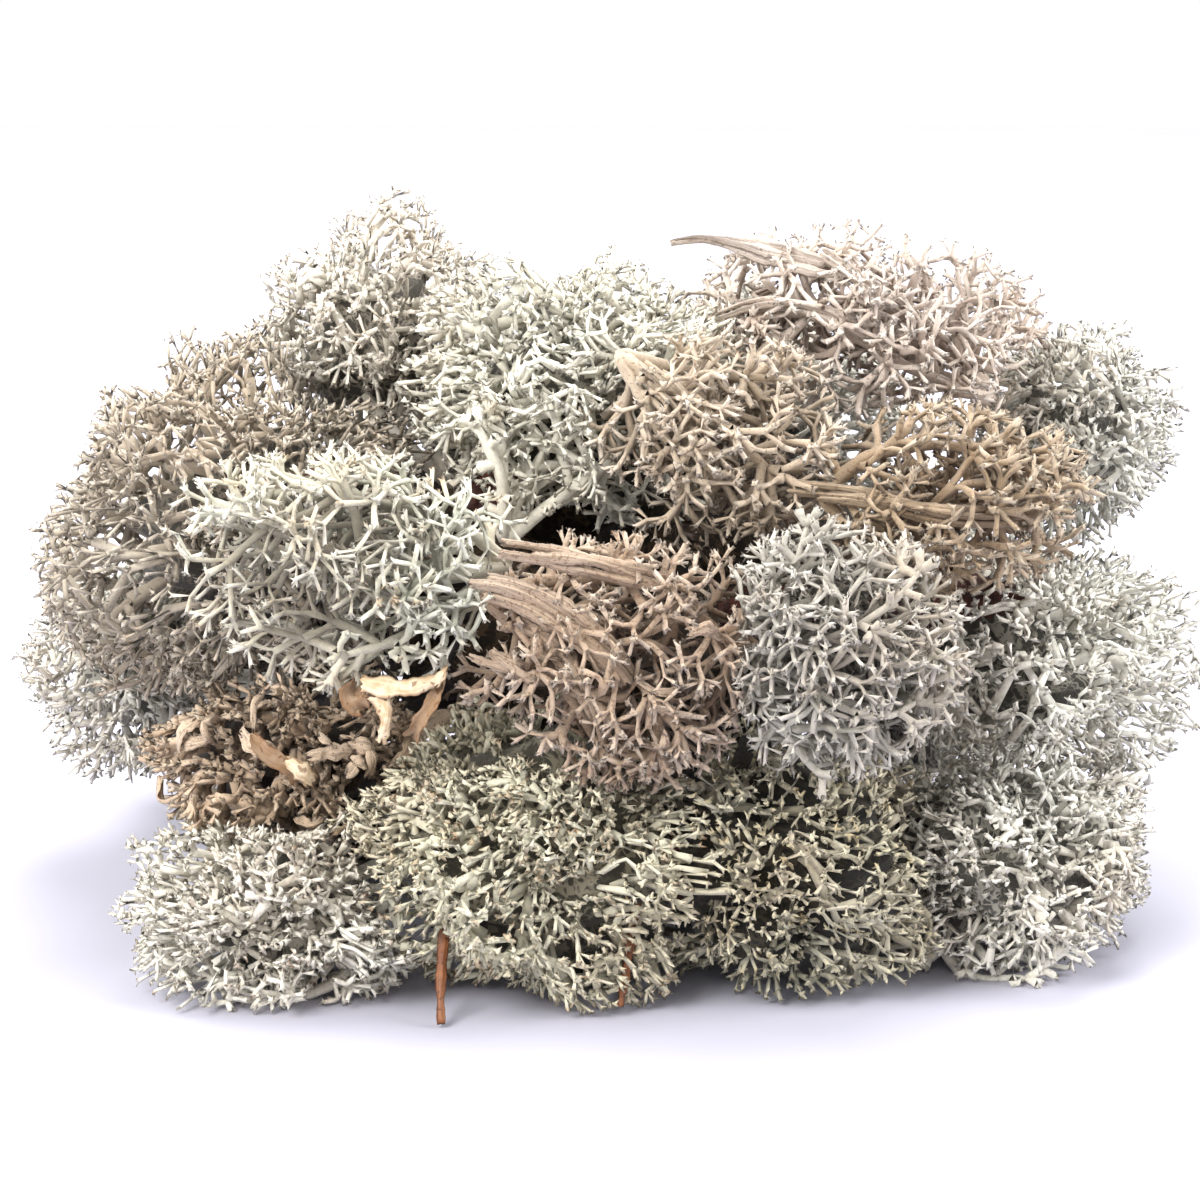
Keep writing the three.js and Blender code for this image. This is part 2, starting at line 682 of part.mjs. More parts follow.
// Marks the space of a scrap as taken, by rods side by side.
function claimScrap(scrap) {
  const frames = framesOf(scrap.points, unit(scrap.face));
  const lanes = Math.ceil(Math.max(...scrap.widths) / LANE);
  for (let i = 1; i < scrap.points.length; i++) {
    for (let k = 0; k <= lanes; k++) {
      const across = k / lanes - 0.5;
      const a = onScrap(scrap, frames, i - 1, across, 0);
      const b = onScrap(scrap, frames, i, across, 0);
      claim(scrap.name, a, b, 0.5 * scrap.thickness + SKIM);
    }
  }
}

// ---- grow the clump ----
const plants = CUSHIONS.map((cushion, i) => {
  const draw = seeded(SEED + SEED_STEP * i);
  if (!cushion.open) addCore(cushion, draw);
  return { cushion, draw, stems: [], buds: [], skins: [] };
});
cores.forEach(finishCore);
for (const scrap of SCRAPS) claimScrap(scrap);
for (const plant of plants) {
  for (const course of innerCourses(plant.cushion)) growStem(plant, course, plant.cushion.open);
}
for (const plant of plants) for (const course of plant.cushion.courses || []) growStem(plant, course, true);
for (const plant of plants) growSprays(plant);
for (const core of cores) growHead(core, plants.find((plant) => plant.cushion.name === core.owner));

const clump = new THREE.Group();
clump.name = "reindeer_moss_clump";
clump.position.set(...times(BOX_MIDDLE, -1));
const placed = [];
function place({ name, look }, solid) {
  const standing = solid.trimByPlane([0, 0, 1], 0);
  placed.push(standing);
  const mesh = new THREE.Mesh(geometryOf(standing), new THREE.MeshStandardMaterial(LOOKS[look]));
  mesh.name = name;
  clump.add(mesh);
}
for (const { cushion, stems, skins } of plants) {
  const whole = wasm.Manifold.union([...skins.map(skinSolid), ...stems.map(stemSolid)]);
  place(cushion, whole.simplify(SMOOTHING));
}
const heap = wasm.Manifold.union(placed);
for (const scrap of SCRAPS) place(scrap, settled(scrapSolid(scrap), unit(scrap.press), heap));

export default clump;
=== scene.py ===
"""The looks of a clump of dried reindeer lichen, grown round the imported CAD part.

Every cushion is grown again from the same foot, head and courses as in the CAD, in up to five orders of
branches that end in small prongs. Lengths are in millimetres until a mesh is made, in the frame of the
CAD tables, which is BOX_MIDDLE away from the row frame.
"""

import math

import bmesh
import bpy
import numpy as np
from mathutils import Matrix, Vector


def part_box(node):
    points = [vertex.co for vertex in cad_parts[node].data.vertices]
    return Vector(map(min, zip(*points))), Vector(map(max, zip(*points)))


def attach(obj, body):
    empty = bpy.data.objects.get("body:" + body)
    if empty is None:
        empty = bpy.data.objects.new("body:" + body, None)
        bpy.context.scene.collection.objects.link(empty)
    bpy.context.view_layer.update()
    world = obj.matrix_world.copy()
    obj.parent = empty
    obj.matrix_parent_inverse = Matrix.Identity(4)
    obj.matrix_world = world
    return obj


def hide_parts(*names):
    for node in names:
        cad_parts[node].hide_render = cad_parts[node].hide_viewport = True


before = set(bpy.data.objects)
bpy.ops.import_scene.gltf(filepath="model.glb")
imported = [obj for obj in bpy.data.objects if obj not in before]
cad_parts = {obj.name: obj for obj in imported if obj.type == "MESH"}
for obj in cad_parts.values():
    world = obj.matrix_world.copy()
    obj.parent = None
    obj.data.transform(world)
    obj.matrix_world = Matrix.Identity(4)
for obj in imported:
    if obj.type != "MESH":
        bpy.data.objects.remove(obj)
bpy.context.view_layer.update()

# ---- sizes shared with the CAD source ----
MM = 0.001
BOX_MIDDLE = np.array([0.25, 1.25, 0.0])
FLAT_FOOT = 0.55  # height of a stem's middle where it lies pressed on the surface
LOWEST = 0.3  # height of a branch's end that meets the surface
FORK_LOWEST = 0.5  # and of the forks and tips of closed heads
TIP_LOWEST = 0.6
STEM_RADIUS = 1.15  # of an inner stem, at its start
STEM_END_RADIUS = 0.8
STEM_CORNERS = 9
STEM_STEP = 1.1  # between a stem's rings of corners
STEM_STRAY = 0.08
STEM_ENDS = (0.6, 0.7)  # what is left of the radius in its first and its last ring
STEM_TWIST = 1.5
STEM_FLATNESS = 0.86
RIB = 0.13  # the height of a stem's ribs, against its radius
RIB_STRAY = 0.07
STEM_REACH = 0.75  # where all but one inner stem end, between their foot and their head's middle
STEM_SPREAD = 0.3  # how far apart inner stems end, against their head's half width
COURSE_RADIUS = 1.05  # of the further stems, at their start
COURSE_RADII = {"pale_right_spray": 0.65}  # the one cushion with thinner stems
COURSE_TAPER = 0.55  # of their radius is left at their end
USUAL_HALF = 20.0  # a head that is larger has more limbs
ANY_TURN = 6.28  # random turns and starts of waves lie between 0 and these
ANY_WAVE = 6
SEED = 101
SEED_STEP = 37  # from one cushion's seed in the CAD to the next one's

# ---- the fine branches ----
# Orders of branches run from 0, the thick ones at a head's middle, to 4. The last ones end in prongs.
RADII = [0.8, 0.6, 0.46, 0.33, 0.235]
THINNEST = 0.85  # each branch is thicker than this share of its radius, by up to THICKER
THICKER = 0.3
RING_CORNERS = [6, 5, 4, 3, 4]
LAST = len(RADII) - 1
LEANS = {2: 0.8, 3: 0.85, 4: 0.9, 5: 0.95}  # radians from its parent's way; 5 is for prongs
KNEE = 0.45  # where a branch bends, as a share of its length
WAIST = 0.82  # a closed head's branch is thinner half way than at its start
WAIST_AT = 0.55
FLARE = 1.3  # and widens to its fork
HUB_RISE = -0.15  # how far the crotch of a fork is sunk, as a share of the branch's radius
PRONG_LENGTHS = (0.45, 0.9)
PRONG_STRAY = 0.25
PRONG_LOWEST = 0.05
PRONG_ENDS = (0.125, 0.16)  # half the width of a blunt end, on a closed and on an open cushion
CLOSED_STAR_CORNERS = 3
BARE_SECTORS = 0.05  # share of the places at a star that carry no prong

# ---- closed heads: branch tips are spread over a head's outside, and joined fork by fork inwards ----
SPACING = 1.5  # between the tips of a dense cushion
TRIANGULAR = 0.866  # the area of a tip in an even spread, against its spacing squared
SINKS = [0.52, 0.8, 1.25, 2.1]  # how far forks lie inside their branches' ends, against the spacing
SINK_MOST = 0.6  # of the way to the head's middle that a fork sinks at most
PER_FORK = 3.0  # branches, on average
STRAY = 0.24  # how far a tip or fork lies from an even spread, against the spacing
DEPTH_STRAY = 0.45  # and how far in or out a tip lies, in mm
LOW_SHARE = 0.33  # of the tips lie lower than the rest, by this many mm
LOW_BY = (1.0, 3.0)
TILT = 0.95  # how much neighbouring branches lean together, away from their head's middle
TILT_WAVE = 17.0
TUFT = 0.9  # how far the edge of a tuft lies below its middle
TUFT_TIPS = 9.0  # tips in a tuft
FEWEST_TUFTS = 12
FEWEST_FORKS = 9
REACH_SHARES = (0.86, 1.13)  # how far limbs reach, as a share of what the head allows
LOBE_EDGE = 0.085  # one less the cosine of the angle between a limb and the edge of its lobe
LOBE = 0.19  # how much lower a head's outside is there
LOBE_MOST = 1.3  # how far past a lobe's edge it gets lower still
LUMP = 0.07  # the height of further lumps, as a share of the depth
LUMP_WAVE = 15.0
LIMB_STRAY = 0.12
LIMB_START = 0.1  # from a head's middle to a limb's end
LIMB_SUNK = 0.6  # how deep a limb starts before its joint, against its radius
ROOT_SUNK = 0.54  # and any other branch, against its parent's
ROOT_WIDTH = 1.05
HIDDEN = 0.8  # a tip that lies deeper in another head doesn't grow
SIGHT_COUNT = 22  # ways in which a tip is looked at
SIGHT_LOWEST = -0.15
SIGHT_DEPTH = 0.86  # other heads hide what lies behind them from this depth on
OWN_SIGHT_DEPTH = 0.6
UNSEEN = 0.175  # a tip seen from a smaller share of all ways doesn't grow
CORE_DEPTH = 0.5  # of the dark middle of a head
CORE_DEPTHS = {
    "heart_cushion": 0.9,
    "front_cushion": 0.62,
    "low_middle_cushion": 0.66,
    "low_right_cushion": 0.6,
}
CORE_ROUGH = 0.17
FINE_CORES = ("heart_cushion",)
CORE_MARK = -1.0  # the tip mark of a core, by which its material paints it dark as shade

# ---- open sprays: branches of orders 1 to 4 fork outwards from stems, each into the most free space ----
LENGTHS = {1: 2.8, 2: 2.2, 3: 1.7, 4: 1.15}
LENGTH_SHARES = (0.65, 1.5)  # the least and most of it that a branch takes
DEPTHS = {1: 0.74, 2: 0.86, 3: 0.94, 4: 1.0}  # how far out in the head each order ends
DEPTH_NOISE = 0.03
RING_STEPS = {1: (0.3, 0.65, 1), 2: (0.45, 1), 3: (0.45, 1), 4: (1,)}  # where its rings of corners stand
SWAY = 0.45  # how far a branch strays from its heading, in radians
SKIPPED = {1: 0.05, 2: 0.12, 3: 0.3, 4: 0.12}  # share of the places at a fork that stay bare
LIMB_DEPTH = 0.42  # lumps raise and lower the depths above, measured from this one on
BUD_STEP = 2.0  # along an open stem of a dense cushion
BUD_TURN = 2.4  # from one bud to the next, round the stem
BUD_RADIUS = 0.55
BUD_CORNERS = 4
SIDE_SPREAD = 0.6  # how far side branches lean along their stem
END_SPREAD = 0.9  # and those at its end
OPEN_DEPTH = 0.58  # the stems of an open cushion lie in the light, so they are as pale as this deep
STAR_DEPTH = 0.95  # a branch that ends this far out ends in prongs
CROWDED = 0.86  # one that ends this deep in another head forks no more
KEEP_OFF = 0.62  # none ends deeper than this in another head
TRIES = 9
BATCHES = {1: 8, 2: 6, 3: 5, 4: 5}  # branches of one batch don't see each other
VOXEL = 0.4  # of the grid that holds which space is taken
MARGIN = {1: 1.3, 2: 1.1, 3: 0.9, 4: 0.7}  # air that each order looks for round itself
LOOKED_AT = (0.5, 0.75, 1.0, 1.3)  # where along a branch it is looked for
SHORT = 0.4  # a branch shorter than this share of its usual length counts as none
WORST = {1: -3.1, 2: -2.8, 3: -2.6, 4: -2.5}  # a branch with a lower score doesn't grow
NEVER = 9.0
NO_LIMIT = 99.0
LEAN_COST = 0.8
TAKEN_COST = 2.5
BESIDE_COST = 0.7
OTHERS_COST = 5.0
OTHERS_EDGE = 0.9  # from this depth in another head a branch is dearer

rng = np.random.default_rng(SEED)

# Each cushion: its finish, its kind, where its stems come together, the middle and the half widths of its
# head, and the spacing of its tips against that of a dense one. An open one has no dense middle, and one
# at the back is closed and has simpler prongs.
CUSHIONS = [
    ("front_cushion", "front", "closed", (0, -14, 24), (-6, -34, 17), (27.5, 19, 21), 0.85),
    ("low_left_cushion", "low_left", "closed", (-24, -23, 12), (-38, -36, 9.5), (21.5, 15.5, 12), 0.96),
    ("low_back_left_cushion", "grey", "back", (-14, -2, 14), (-34, 1, 12), (21.5, 20.5, 15.5), 1.34),
    ("brown_left_cushion", "brown", "closed", (-18, -12, 27), (-38, -20, 24), (20.5, 16.5, 13), 1.1),
    ("grey_left_cushion", "beige", "closed", (-18, 0, 44), (-43, -7, 50), (27.5, 25, 23.5), 1.15),
    ("far_left_cushion", "pale_blue", "closed", (-40, 12, 24), (-60, 13, 27), (15.5, 17.5, 16.5), 1.15),
    ("top_left_cushion", "pale_beige", "closed", (-18, 6, 52), (-28, 9, 71), (17.5, 17.5, 17.5), 1.08),
    ("bright_spray", "bright", "open", (-10, -33, 52), (-30, -39, 53), (25, 10.5, 14.5), 1.36),
    ("top_middle_cushion", "pale", "closed", (-11, -22, 52), (-2, -9, 68), (23.5, 16.5, 17.5), 1.12),
    ("tan_middle_tangle", "tan", "open", (-13, -42, 50.5), (4, -39, 41), (22.5, 12, 16.5), 1.1),
    ("tan_ridge", "tan_light", "open", (3, -25, 76), (16, -23, 65), (19, 13, 13), 1.1),
    ("tan_right_tangle", "tan_pale", "open", (27, -31, 60), (42, -25, 58), (20.5, 12, 12), 1.15),
    ("tan_top_right", "rosy", "open", (51, 4, 64), (33, 1, 73), (26.5, 15.5, 14.5), 1.1),
    ("grey_far_right", "blue", "closed", (50, 9, 46.5), (61.4, 12.6, 58.4), (14.5, 17.5, 15.5), 1.15),
    ("right_cushion", "green", "closed", (36, -4, 36), (54, -6, 33), (22.5, 22.5, 16.5), 1.14),
    ("low_right_cushion", "green", "closed", (34, -14, 21), (51, -22, 12), (22.5, 22.5, 15), 1.14),
    ("pale_right_spray", "pale_right", "open", (17, -31, 45), (29, -41, 44), (15.5, 12, 16.5), 1.12),
    ("low_middle_cushion", "cream", "closed", (16, -16, 22), (22, -34, 14), (20.5, 17.5, 17.5), 1.0),
    ("middle_back_cushion", "blue", "back", (16, 20, 48), (21, 24, 58), (22.5, 20.5, 17.5), 1.3),
    ("back_left_cushion", "beige", "back", (-24, 22, 34), (-40, 30.5, 28), (26.5, 23.5, 25), 1.34),
    ("back_middle_cushion", "tan_pale", "back", (-2, 19, 28), (-3, 34.5, 20), (25, 20.5, 23.5), 1.36),
    ("back_right_cushion", "green", "back", (26, 16, 30), (40, 27, 24), (26.5, 26.5, 26.5), 1.34),
    ("back_top_cushion", "pale", "back", (-10, 20, 48), (-10, 30, 54), (21.5, 20.5, 16.5), 1.32),
    ("heart_cushion", "brown", "back", (4, 6, 18), (4, 6, 38), (32, 19, 26), 1.7),
]
NAMES = [row[0] for row in CUSHIONS]
KINDS = np.array([row[2] for row in CUSHIONS])
FEET, HEADS, HALVES = (np.array([row[column] for row in CUSHIONS], float) for column in (3, 4, 5))
AIRS = np.array([row[6] for row in CUSHIONS])
STOUT_ONES = {
    "brown_left_cushion": 1.2,
    "pale_right_spray": 0.86,
    "bright_spray": 0.9,
    "top_middle_cushion": 1.05,
}
STOUTS = np.array([STOUT_ONES.get(name, 1.0) for name in NAMES])
# The courses that further stems take from the foot on, as in the CAD.
COURSES = {
    "low_left_cushion": [[(-28, -38, 4), (-35, -42, FLAT_FOOT), (-43, -43, FLAT_FOOT)]],
    "bright_spray": [
        [(-18, -38, 51.6), (-25, -41, 54), (-34, -42, 57.5), (-38, -41.5, 58.5)],
        [(-17, -37, 48), (-23, -41, 45), (-29, -43, 43.6)],
        [(-15, -36, 57), (-22, -38, 60), (-30, -40, 62)],
    ],
    "top_middle_cushion": [
        [(-9, -21, 57), (-6, -20, 63)],
        [(-11, -24, 60), (-14, -24, 67)],
        [(-2, -21, 59), (5, -20, 64), (7, -17, 70)],
    ],
    "tan_middle_tangle": [
        [(-5, -44, 49), (3, -46, 44), (8, -45, 37)],
        [(-7, -43, 45), (-2, -45, 38), (1, -43, 32)],
        [(-4, -42, 52.5), (7, -41, 51.5), (15, -42, 46)],
    ],
    "tan_ridge": [
        [(9.5, -27, 71.5), (16, -29, 67), (21, -30, 63)],
        [(7, -28, 69), (11, -30, 63)],
        [(11, -20, 73), (19, -19, 71.5)],
    ],
    "tan_right_tangle": [
        [(34, -32, 59), (43, -32, 57.5), (52, -29, 57)],
        [(33, -28, 64), (40, -26, 65), (47, -23, 64)],
        [(33, -31, 54), (42, -31, 51.5)],
    ],
    "tan_top_right": [
        [(41, -2, 75.5), (31, -2, 82), (21, -2, 84)],
        [(39, -8, 71), (28, -8, 77), (18, -7, 78)],
        [(46, 8, 74), (48, 9, 77)],
    ],
    "low_right_cushion": [[(40, -24, 9), (45, -33, FLAT_FOOT), (53, -36, FLAT_FOOT)]],
    "pale_right_spray": [
        [(21, -40, 45), (25, -46, 46), (30, -49, 48.5), (35, -49, 52), (38, -47, 55)],
        [(20, -40, 43), (24, -46, 42), (29, -49, 39), (34, -48, 37.5), (38, -45, 38.5)],
        [(19, -38, 48), (22.5, -43, 51), (24, -44, 56), (25, -42, 59)],
        [(19, -38, 42), (21, -44, 37.5), (24, -47, 33), (27, -46, 29.5)],
        [(22, -36, 45), (29, -41, 45), (37, -42, 45)],
    ],
    "back_middle_cushion": [[(1, 27, 12), (4, 36, FLAT_FOOT), (6, 45, FLAT_FOOT)]],
}


# ---- small helpers ----
def seeded(seed):
    """The CAD source's repeatable stream of numbers from 0 to 1."""
    mask = 0xFFFFFFFF
    state = seed & mask

    def draw():
        nonlocal state
        state = (state + 0x6D2B79F5) & mask
        t = state
        t = ((t ^ (t >> 15)) * (t | 1)) & mask
        t ^= (t + (((t ^ (t >> 7)) * (t | 61)) & mask)) & mask
        return ((t ^ (t >> 14)) & mask) / 4294967296

    return draw


def unit(a):
    return a / np.maximum(np.linalg.norm(a, axis=-1, keepdims=True), 1e-9)


def dot(a, b):
    return (a * b).sum(-1, keepdims=True)


def between(limits, *shape):
    """Random numbers between two limits."""
    low, high = limits
    return low + (high - low) * rng.random(shape or None)


def pick(buds, rows):
    return {key: value[rows] for key, value in buds.items()}


def joined(parts):
    return {key: np.concatenate([part[key] for part in parts]) for key in parts[0]}


def square(way):
    """Two directions square to each given one."""
    helper = np.where(np.abs(way[..., 2:]) < 0.9, [0.0, 0.0, 1.0], [1.0, 0.0, 0.0])
    first = unit(np.cross(way, helper))
    return first, np.cross(way, first)


def depth_in(owner, p):
    """How far out points lie in the heads of their owners: 0 in the middle and 1 on the outside."""
    return np.linalg.norm((p - HEADS[owner]) / HALVES[owner], axis=-1)


def length_to(owner, joint, way, depth):
    """The length at which a stretch from a joint comes to a depth in its owner's head."""
    at, along = (joint - HEADS[owner]) / HALVES[owner], way / HALVES[owner]
    steep = (along * along).sum(-1)
    outward = (at * along).sum(-1)
    under_root = outward * outward - steep * ((at * at).sum(-1) - depth * depth)
    return np.where(under_root > 0, (np.sqrt(np.maximum(under_root, 0)) - outward) / steep, 0.0)


def turned(u, v, turn):
    """Ways that are turned from u towards v. The turns have one axis less."""
    return u * np.cos(turn)[..., None] + v * np.sin(turn)[..., None]


def wave_set(count, size, widest):
    """The ways and starts of waves of about one size."""
    ways = unit(rng.standard_normal((count, 3))) * (2 * np.pi / size)
    return ways * np.linspace(0.7, widest, count)[:, None], rng.random(count) * 2 * np.pi


LUMP_WAYS, LUMP_TURNS = wave_set(5, LUMP_WAVE, 1.4)
TILT_WAYS, TILT_TURNS = wave_set(6, TILT_WAVE, 1.5)


def lumps(p):
    """How much further out a head reaches at each place, as a share."""
    return LUMP * np.sin(p @ LUMP_WAYS.T + LUMP_TURNS).sum(-1) / 2


def tilts(p):
    """A smooth stray direction at each place."""
    waves = np.sin(p @ TILT_WAYS.T + TILT_TURNS)
    return TILT * (waves[:, 0::2] + waves[:, 1::2]) / 2


# ---- the space that is taken ----
GRID_LOW = np.array([-84.0, -64.0, -2.0])
GRID_SIZE = np.array([170.0, 132.0, 100.0])
taken = np.zeros(tuple(np.ceil(GRID_SIZE / VOXEL).astype(int)), bool)


def cells(p, step, shape):
    return tuple(np.clip(((p - GRID_LOW) / step).astype(np.int32), 0, np.array(shape) - 1).reshape(-1, 3).T)


def is_taken(p):
    return taken[cells(p, VOXEL, taken.shape)].reshape(p.shape[:-1])


NEXT_CELLS = np.array([(x, y, z) for x in (-1, 0, 1) for y in (-1, 0, 1) for z in (-1, 0, 1)], float)
CLAIM_START = 0.25


def claim(a, b, radius):
    """Marks the space round stretches from a to b as taken, apart from their starts."""
    count = max(2, int(np.ceil(np.linalg.norm(b - a, axis=-1).max() / VOXEL)))
    near = NEXT_CELLS[np.abs(NEXT_CELLS).sum(1) * VOXEL * 0.6 <= radius] * min(radius, VOXEL)
    for t in np.linspace(CLAIM_START, 1, count):
        p = a + (b - a) * t
        for out in near:
            taken[cells(p + out, VOXEL, taken.shape)] = True


HOME_STEP = 1.0  # of a coarser grid
FAR_AWAY = 9.0


def map_homes():
    """For each cell: the head that it lies deepest in, and how deep it lies there and in the next one."""
    shape = tuple(np.ceil(GRID_SIZE / HOME_STEP).astype(int))
    axes = [GRID_LOW[i] + HOME_STEP * (np.arange(shape[i]) + 0.5) for i in range(3)]
    first, second = np.full((2, *shape), FAR_AWAY, np.float32)
    home = np.zeros(shape, np.int8)
    for k, (head, half) in enumerate(zip(HEADS, HALVES)):
        x, y, z = [((axes[i] - head[i]) / half[i]).astype(np.float32) ** 2 for i in range(3)]
        depth = np.sqrt(x[:, None, None] + y[None, :, None] + z[None, None, :])
        closer = depth < first
        second = np.where(closer, first, np.minimum(second, depth))
        first = np.where(closer, depth, first)
        home[closer] = k
    return home, first, second


home_of, first_depth, second_depth = map_homes()


def depth_in_others(owner, p):
    """How deep points lie in the nearest head that isn't their owner's."""
    at = cells(p, HOME_STEP, home_of.shape)
    owner = np.broadcast_to(owner, p.shape[:-1]).reshape(-1)
    return np.where(home_of[at] == owner, second_depth[at], first_depth[at]).reshape(p.shape[:-1])


# ---- the skins ----
MARKS = ("owner", "tip", "tint", "axil", "grain")


class Skins:
    """The corners and triangles of all pieces. Each corner has an owner, and marks for its finish."""

    def __init__(self):
        self.places, self.faces, self.count = [], [], 0
        self.marks = {name: [] for name in MARKS}

    def corners(self, places, owner, tip, tint, axil=0.0, grain=0.0):
        """Adds n corners for each of m branches from an array of m x n x 3, and gives back their numbers."""
        m, n = places.shape[:2]
        self.places.append(places.reshape(-1, 3))
        for name, value in zip(MARKS, (owner[:, None], tip, tint[:, None], axil, grain)):
            self.marks[name].append(np.broadcast_to(value, (m, n)).ravel())
        numbers = self.count + np.arange(m * n).reshape(m, n)
        self.count += m * n
        return numbers

    def triangles(self, corners):
        self.faces.append(corners.reshape(-1, 3))

    def all_places(self):
        """All corners so far, kept in one growing array."""
        if len(self.places) > 1:
            self.places = [np.concatenate(self.places)]
        return self.places[0]


skins = Skins()


def zipper(base_count, ring_count):
    """Triangles between a loop and a ring or point, as corners of both: the loop's come first."""
    i = j = 0
    faces = []
    while i < base_count or j < ring_count:
        if j == ring_count or (i < base_count and (i + 1) / base_count <= (j + 1) / ring_count):
            faces.append((i, (i + 1) % base_count, base_count + j % ring_count))
            i += 1
        else:
            faces.append((i % base_count, base_count + (j + 1) % ring_count, base_count + j % ring_count))
            j += 1
    return np.array([face for face in faces if len(set(face)) == 3])


def stitch(loops, rings):
    both = np.concatenate([loops, rings], 1)
    skins.triangles(both[:, zipper(loops.shape[1], rings.shape[1])])


def close(loops):
    """Closes loops with a fan of triangles."""
    n = loops.shape[1]
    skins.triangles(loops[:, np.array([(0, k, k + 1) for k in range(1, n - 1)])])


def ring_places(first, middle, way, radius, count):
    """Rings of corners square to a way. The first corner lies towards the place given."""
    u = first - middle
    u = unit(u - way * dot(u, way))
    v = np.cross(way, u)
    out = turned(u[:, None], v[:, None], 2 * np.pi * np.arange(count) / count)
    return middle[:, None] + out * np.reshape(radius, (-1, 1, 1))


# ---- the branching rule of open sprays ----
def reach(buds, order):
    """The best end for each bud's branch, how deep in other heads it lies, and whether it is good enough."""
    joint, heading, owner = buds["joint"][:, None], buds["heading"], buds["owner"][:, None]
    count = len(heading)
    s1, s2 = square(heading)
    turn = 2 * np.pi * rng.random((count, TRIES))
    lean = SWAY * np.sqrt(rng.random((count, TRIES)))
    way = turned(heading[:, None], turned(s1[:, None], s2[:, None], turn), lean)
    usual = LENGTHS[order] * AIRS[owner]
    depth = LIMB_DEPTH + (DEPTHS[order] - LIMB_DEPTH) * (1 + lumps(joint))
    wanted = length_to(owner, joint, way, depth + DEPTH_NOISE * rng.standard_normal((count, 1)))
    far = np.clip(wanted, LENGTH_SHARES[0] * usual, LENGTH_SHARES[1] * usual)
    falls = way[..., 2] < -1e-6
    room = np.where(falls, (LOWEST - joint[..., 2]) / np.where(falls, way[..., 2], -1.0), NO_LIMIT)
    far = np.minimum(far, np.maximum(room, 0.0))
    ends = joint + way * far[..., None]
    t1, t2 = square(way)
    score = -LEAN_COST * lean - np.where(far < SHORT * usual, NEVER, 0.0)
    for t in LOOKED_AT:
        p = joint + way * (far * t)[..., None]
        score -= TAKEN_COST * is_taken(p)
        for aside in (t1, -t1, t2, -t2):
            score -= BESIDE_COST * is_taken(p + aside * (MARGIN[order] * AIRS[owner])[..., None])
    others = depth_in_others(owner, ends)
    score -= OTHERS_COST * np.clip(OTHERS_EDGE - others, 0, 1) + np.where(others < KEEP_OFF, NEVER, 0.0)
    best = score.argmax(1)
    rows = np.arange(count)
    return ends[rows, best], others[rows, best], score[rows, best] > WORST[order]


def bend_through(joint, heading, end, t):
    """The place and way at t on the curve that leaves a joint along its heading."""
    knee = joint + heading * (KNEE * np.linalg.norm(end - joint, axis=-1, keepdims=True))
    place = joint * (1 - t) ** 2 + knee * (2 * t * (1 - t)) + end * t**2
    way = unit((knee - joint) * (1 - t) + (end - knee) * t)
    return place, way


def grow(buds, order):
    """Grows one order of branches. Gives back the buds at their forks, and those that end in prongs."""
    kept = rng.random(len(buds["joint"])) >= SKIPPED[order]
    close(buds["loop"][~kept])
    rows = rng.permutation(np.flatnonzero(kept))
    onward, prongs = [], []
    for batch in np.array_split(rows, BATCHES[order]):
        part = pick(buds, batch)
        ends, others, found = reach(part, order)
        close(part["loop"][~found])
        part, ends = pick({**part, "others": others}, found), ends[found]
        claim(part["joint"], ends, RADII[order])
        forked = extend(part, ends, order)
        deep = (depth_in(forked["owner"], forked["joint"]) > STAR_DEPTH) | (order == LAST)
        hidden = (forked["others"] < CROWDED) & (order >= 2)
        close(forked["loop"][hidden])
        prongs.append(pick(forked, deep & ~hidden))
        onward.append(pick(forked, ~deep & ~hidden))
    return joined(onward), joined(prongs)


def grow_prongs(buds):
    """Ends every sector of a star in a small prong, or closes it. At the back a prong comes to a point."""
    kept = rng.random(len(buds["joint"])) >= BARE_SECTORS
    close(buds["loop"][~kept])
    buds = pick(buds, kept)
    count = len(buds["joint"])
    way = unit(buds["heading"] + PRONG_STRAY * rng.standard_normal((count, 3)))
    ends = buds["joint"] + way * between(PRONG_LENGTHS, count, 1)
    ends[:, 2] = np.maximum(ends[:, 2], PRONG_LOWEST)
    places = skins.all_places()
    kind = KINDS[buds["owner"]]
    broad = unit(places[buds["loop"][:, 0]] - places[buds["loop"][:, 1]])
    broad *= np.where(kind == "open", PRONG_ENDS[1], PRONG_ENDS[0])[:, None]
    at_back = kind == "back"
    for some, tips in ((at_back, ends[:, None]), (~at_back, np.stack([ends + broad, ends - broad], 1))):
        stitch(buds["loop"][some], skins.corners(tips[some], buds["owner"][some], 1.0, buds["tint"][some]))


def thickness(owner, tint):
    """How thick branches are, against their order's radius."""
    return (THINNEST + THICKER * tint) * STOUTS[owner]


def lengthen(loops, place, way, radius, corners, owner, tip, tint):
    """Joins loops to new rings round places further along, and gives back these."""
    rings = ring_places(skins.all_places()[loops[:, 0]], place, way, radius, corners)
    rings = skins.corners(rings, owner, tip, tint)
    stitch(loops, rings)
    return rings


def tip_mark(order, t):
    """How far out a place t along a branch is, where a stem is 0 and a prong's tip 1."""
    return (order + t) / (LAST + 2)


def extend(part, ends, order):
    """Builds branches from their loops to their ends, and gives back the buds at their forks."""
    owner, tint, loops = part["owner"], part["tint"], part["loop"]
    for t in RING_STEPS[order]:
        place, way = bend_through(part["joint"], part["heading"], ends, t)
        radius = RADII[order] * thickness(owner, tint) * (FLARE if t == 1 else 1.0)
        loops = lengthen(loops, place, way, radius, RING_CORNERS[order], owner, tip_mark(order, t), tint)
    return fork(loops, ends, way, part, order)


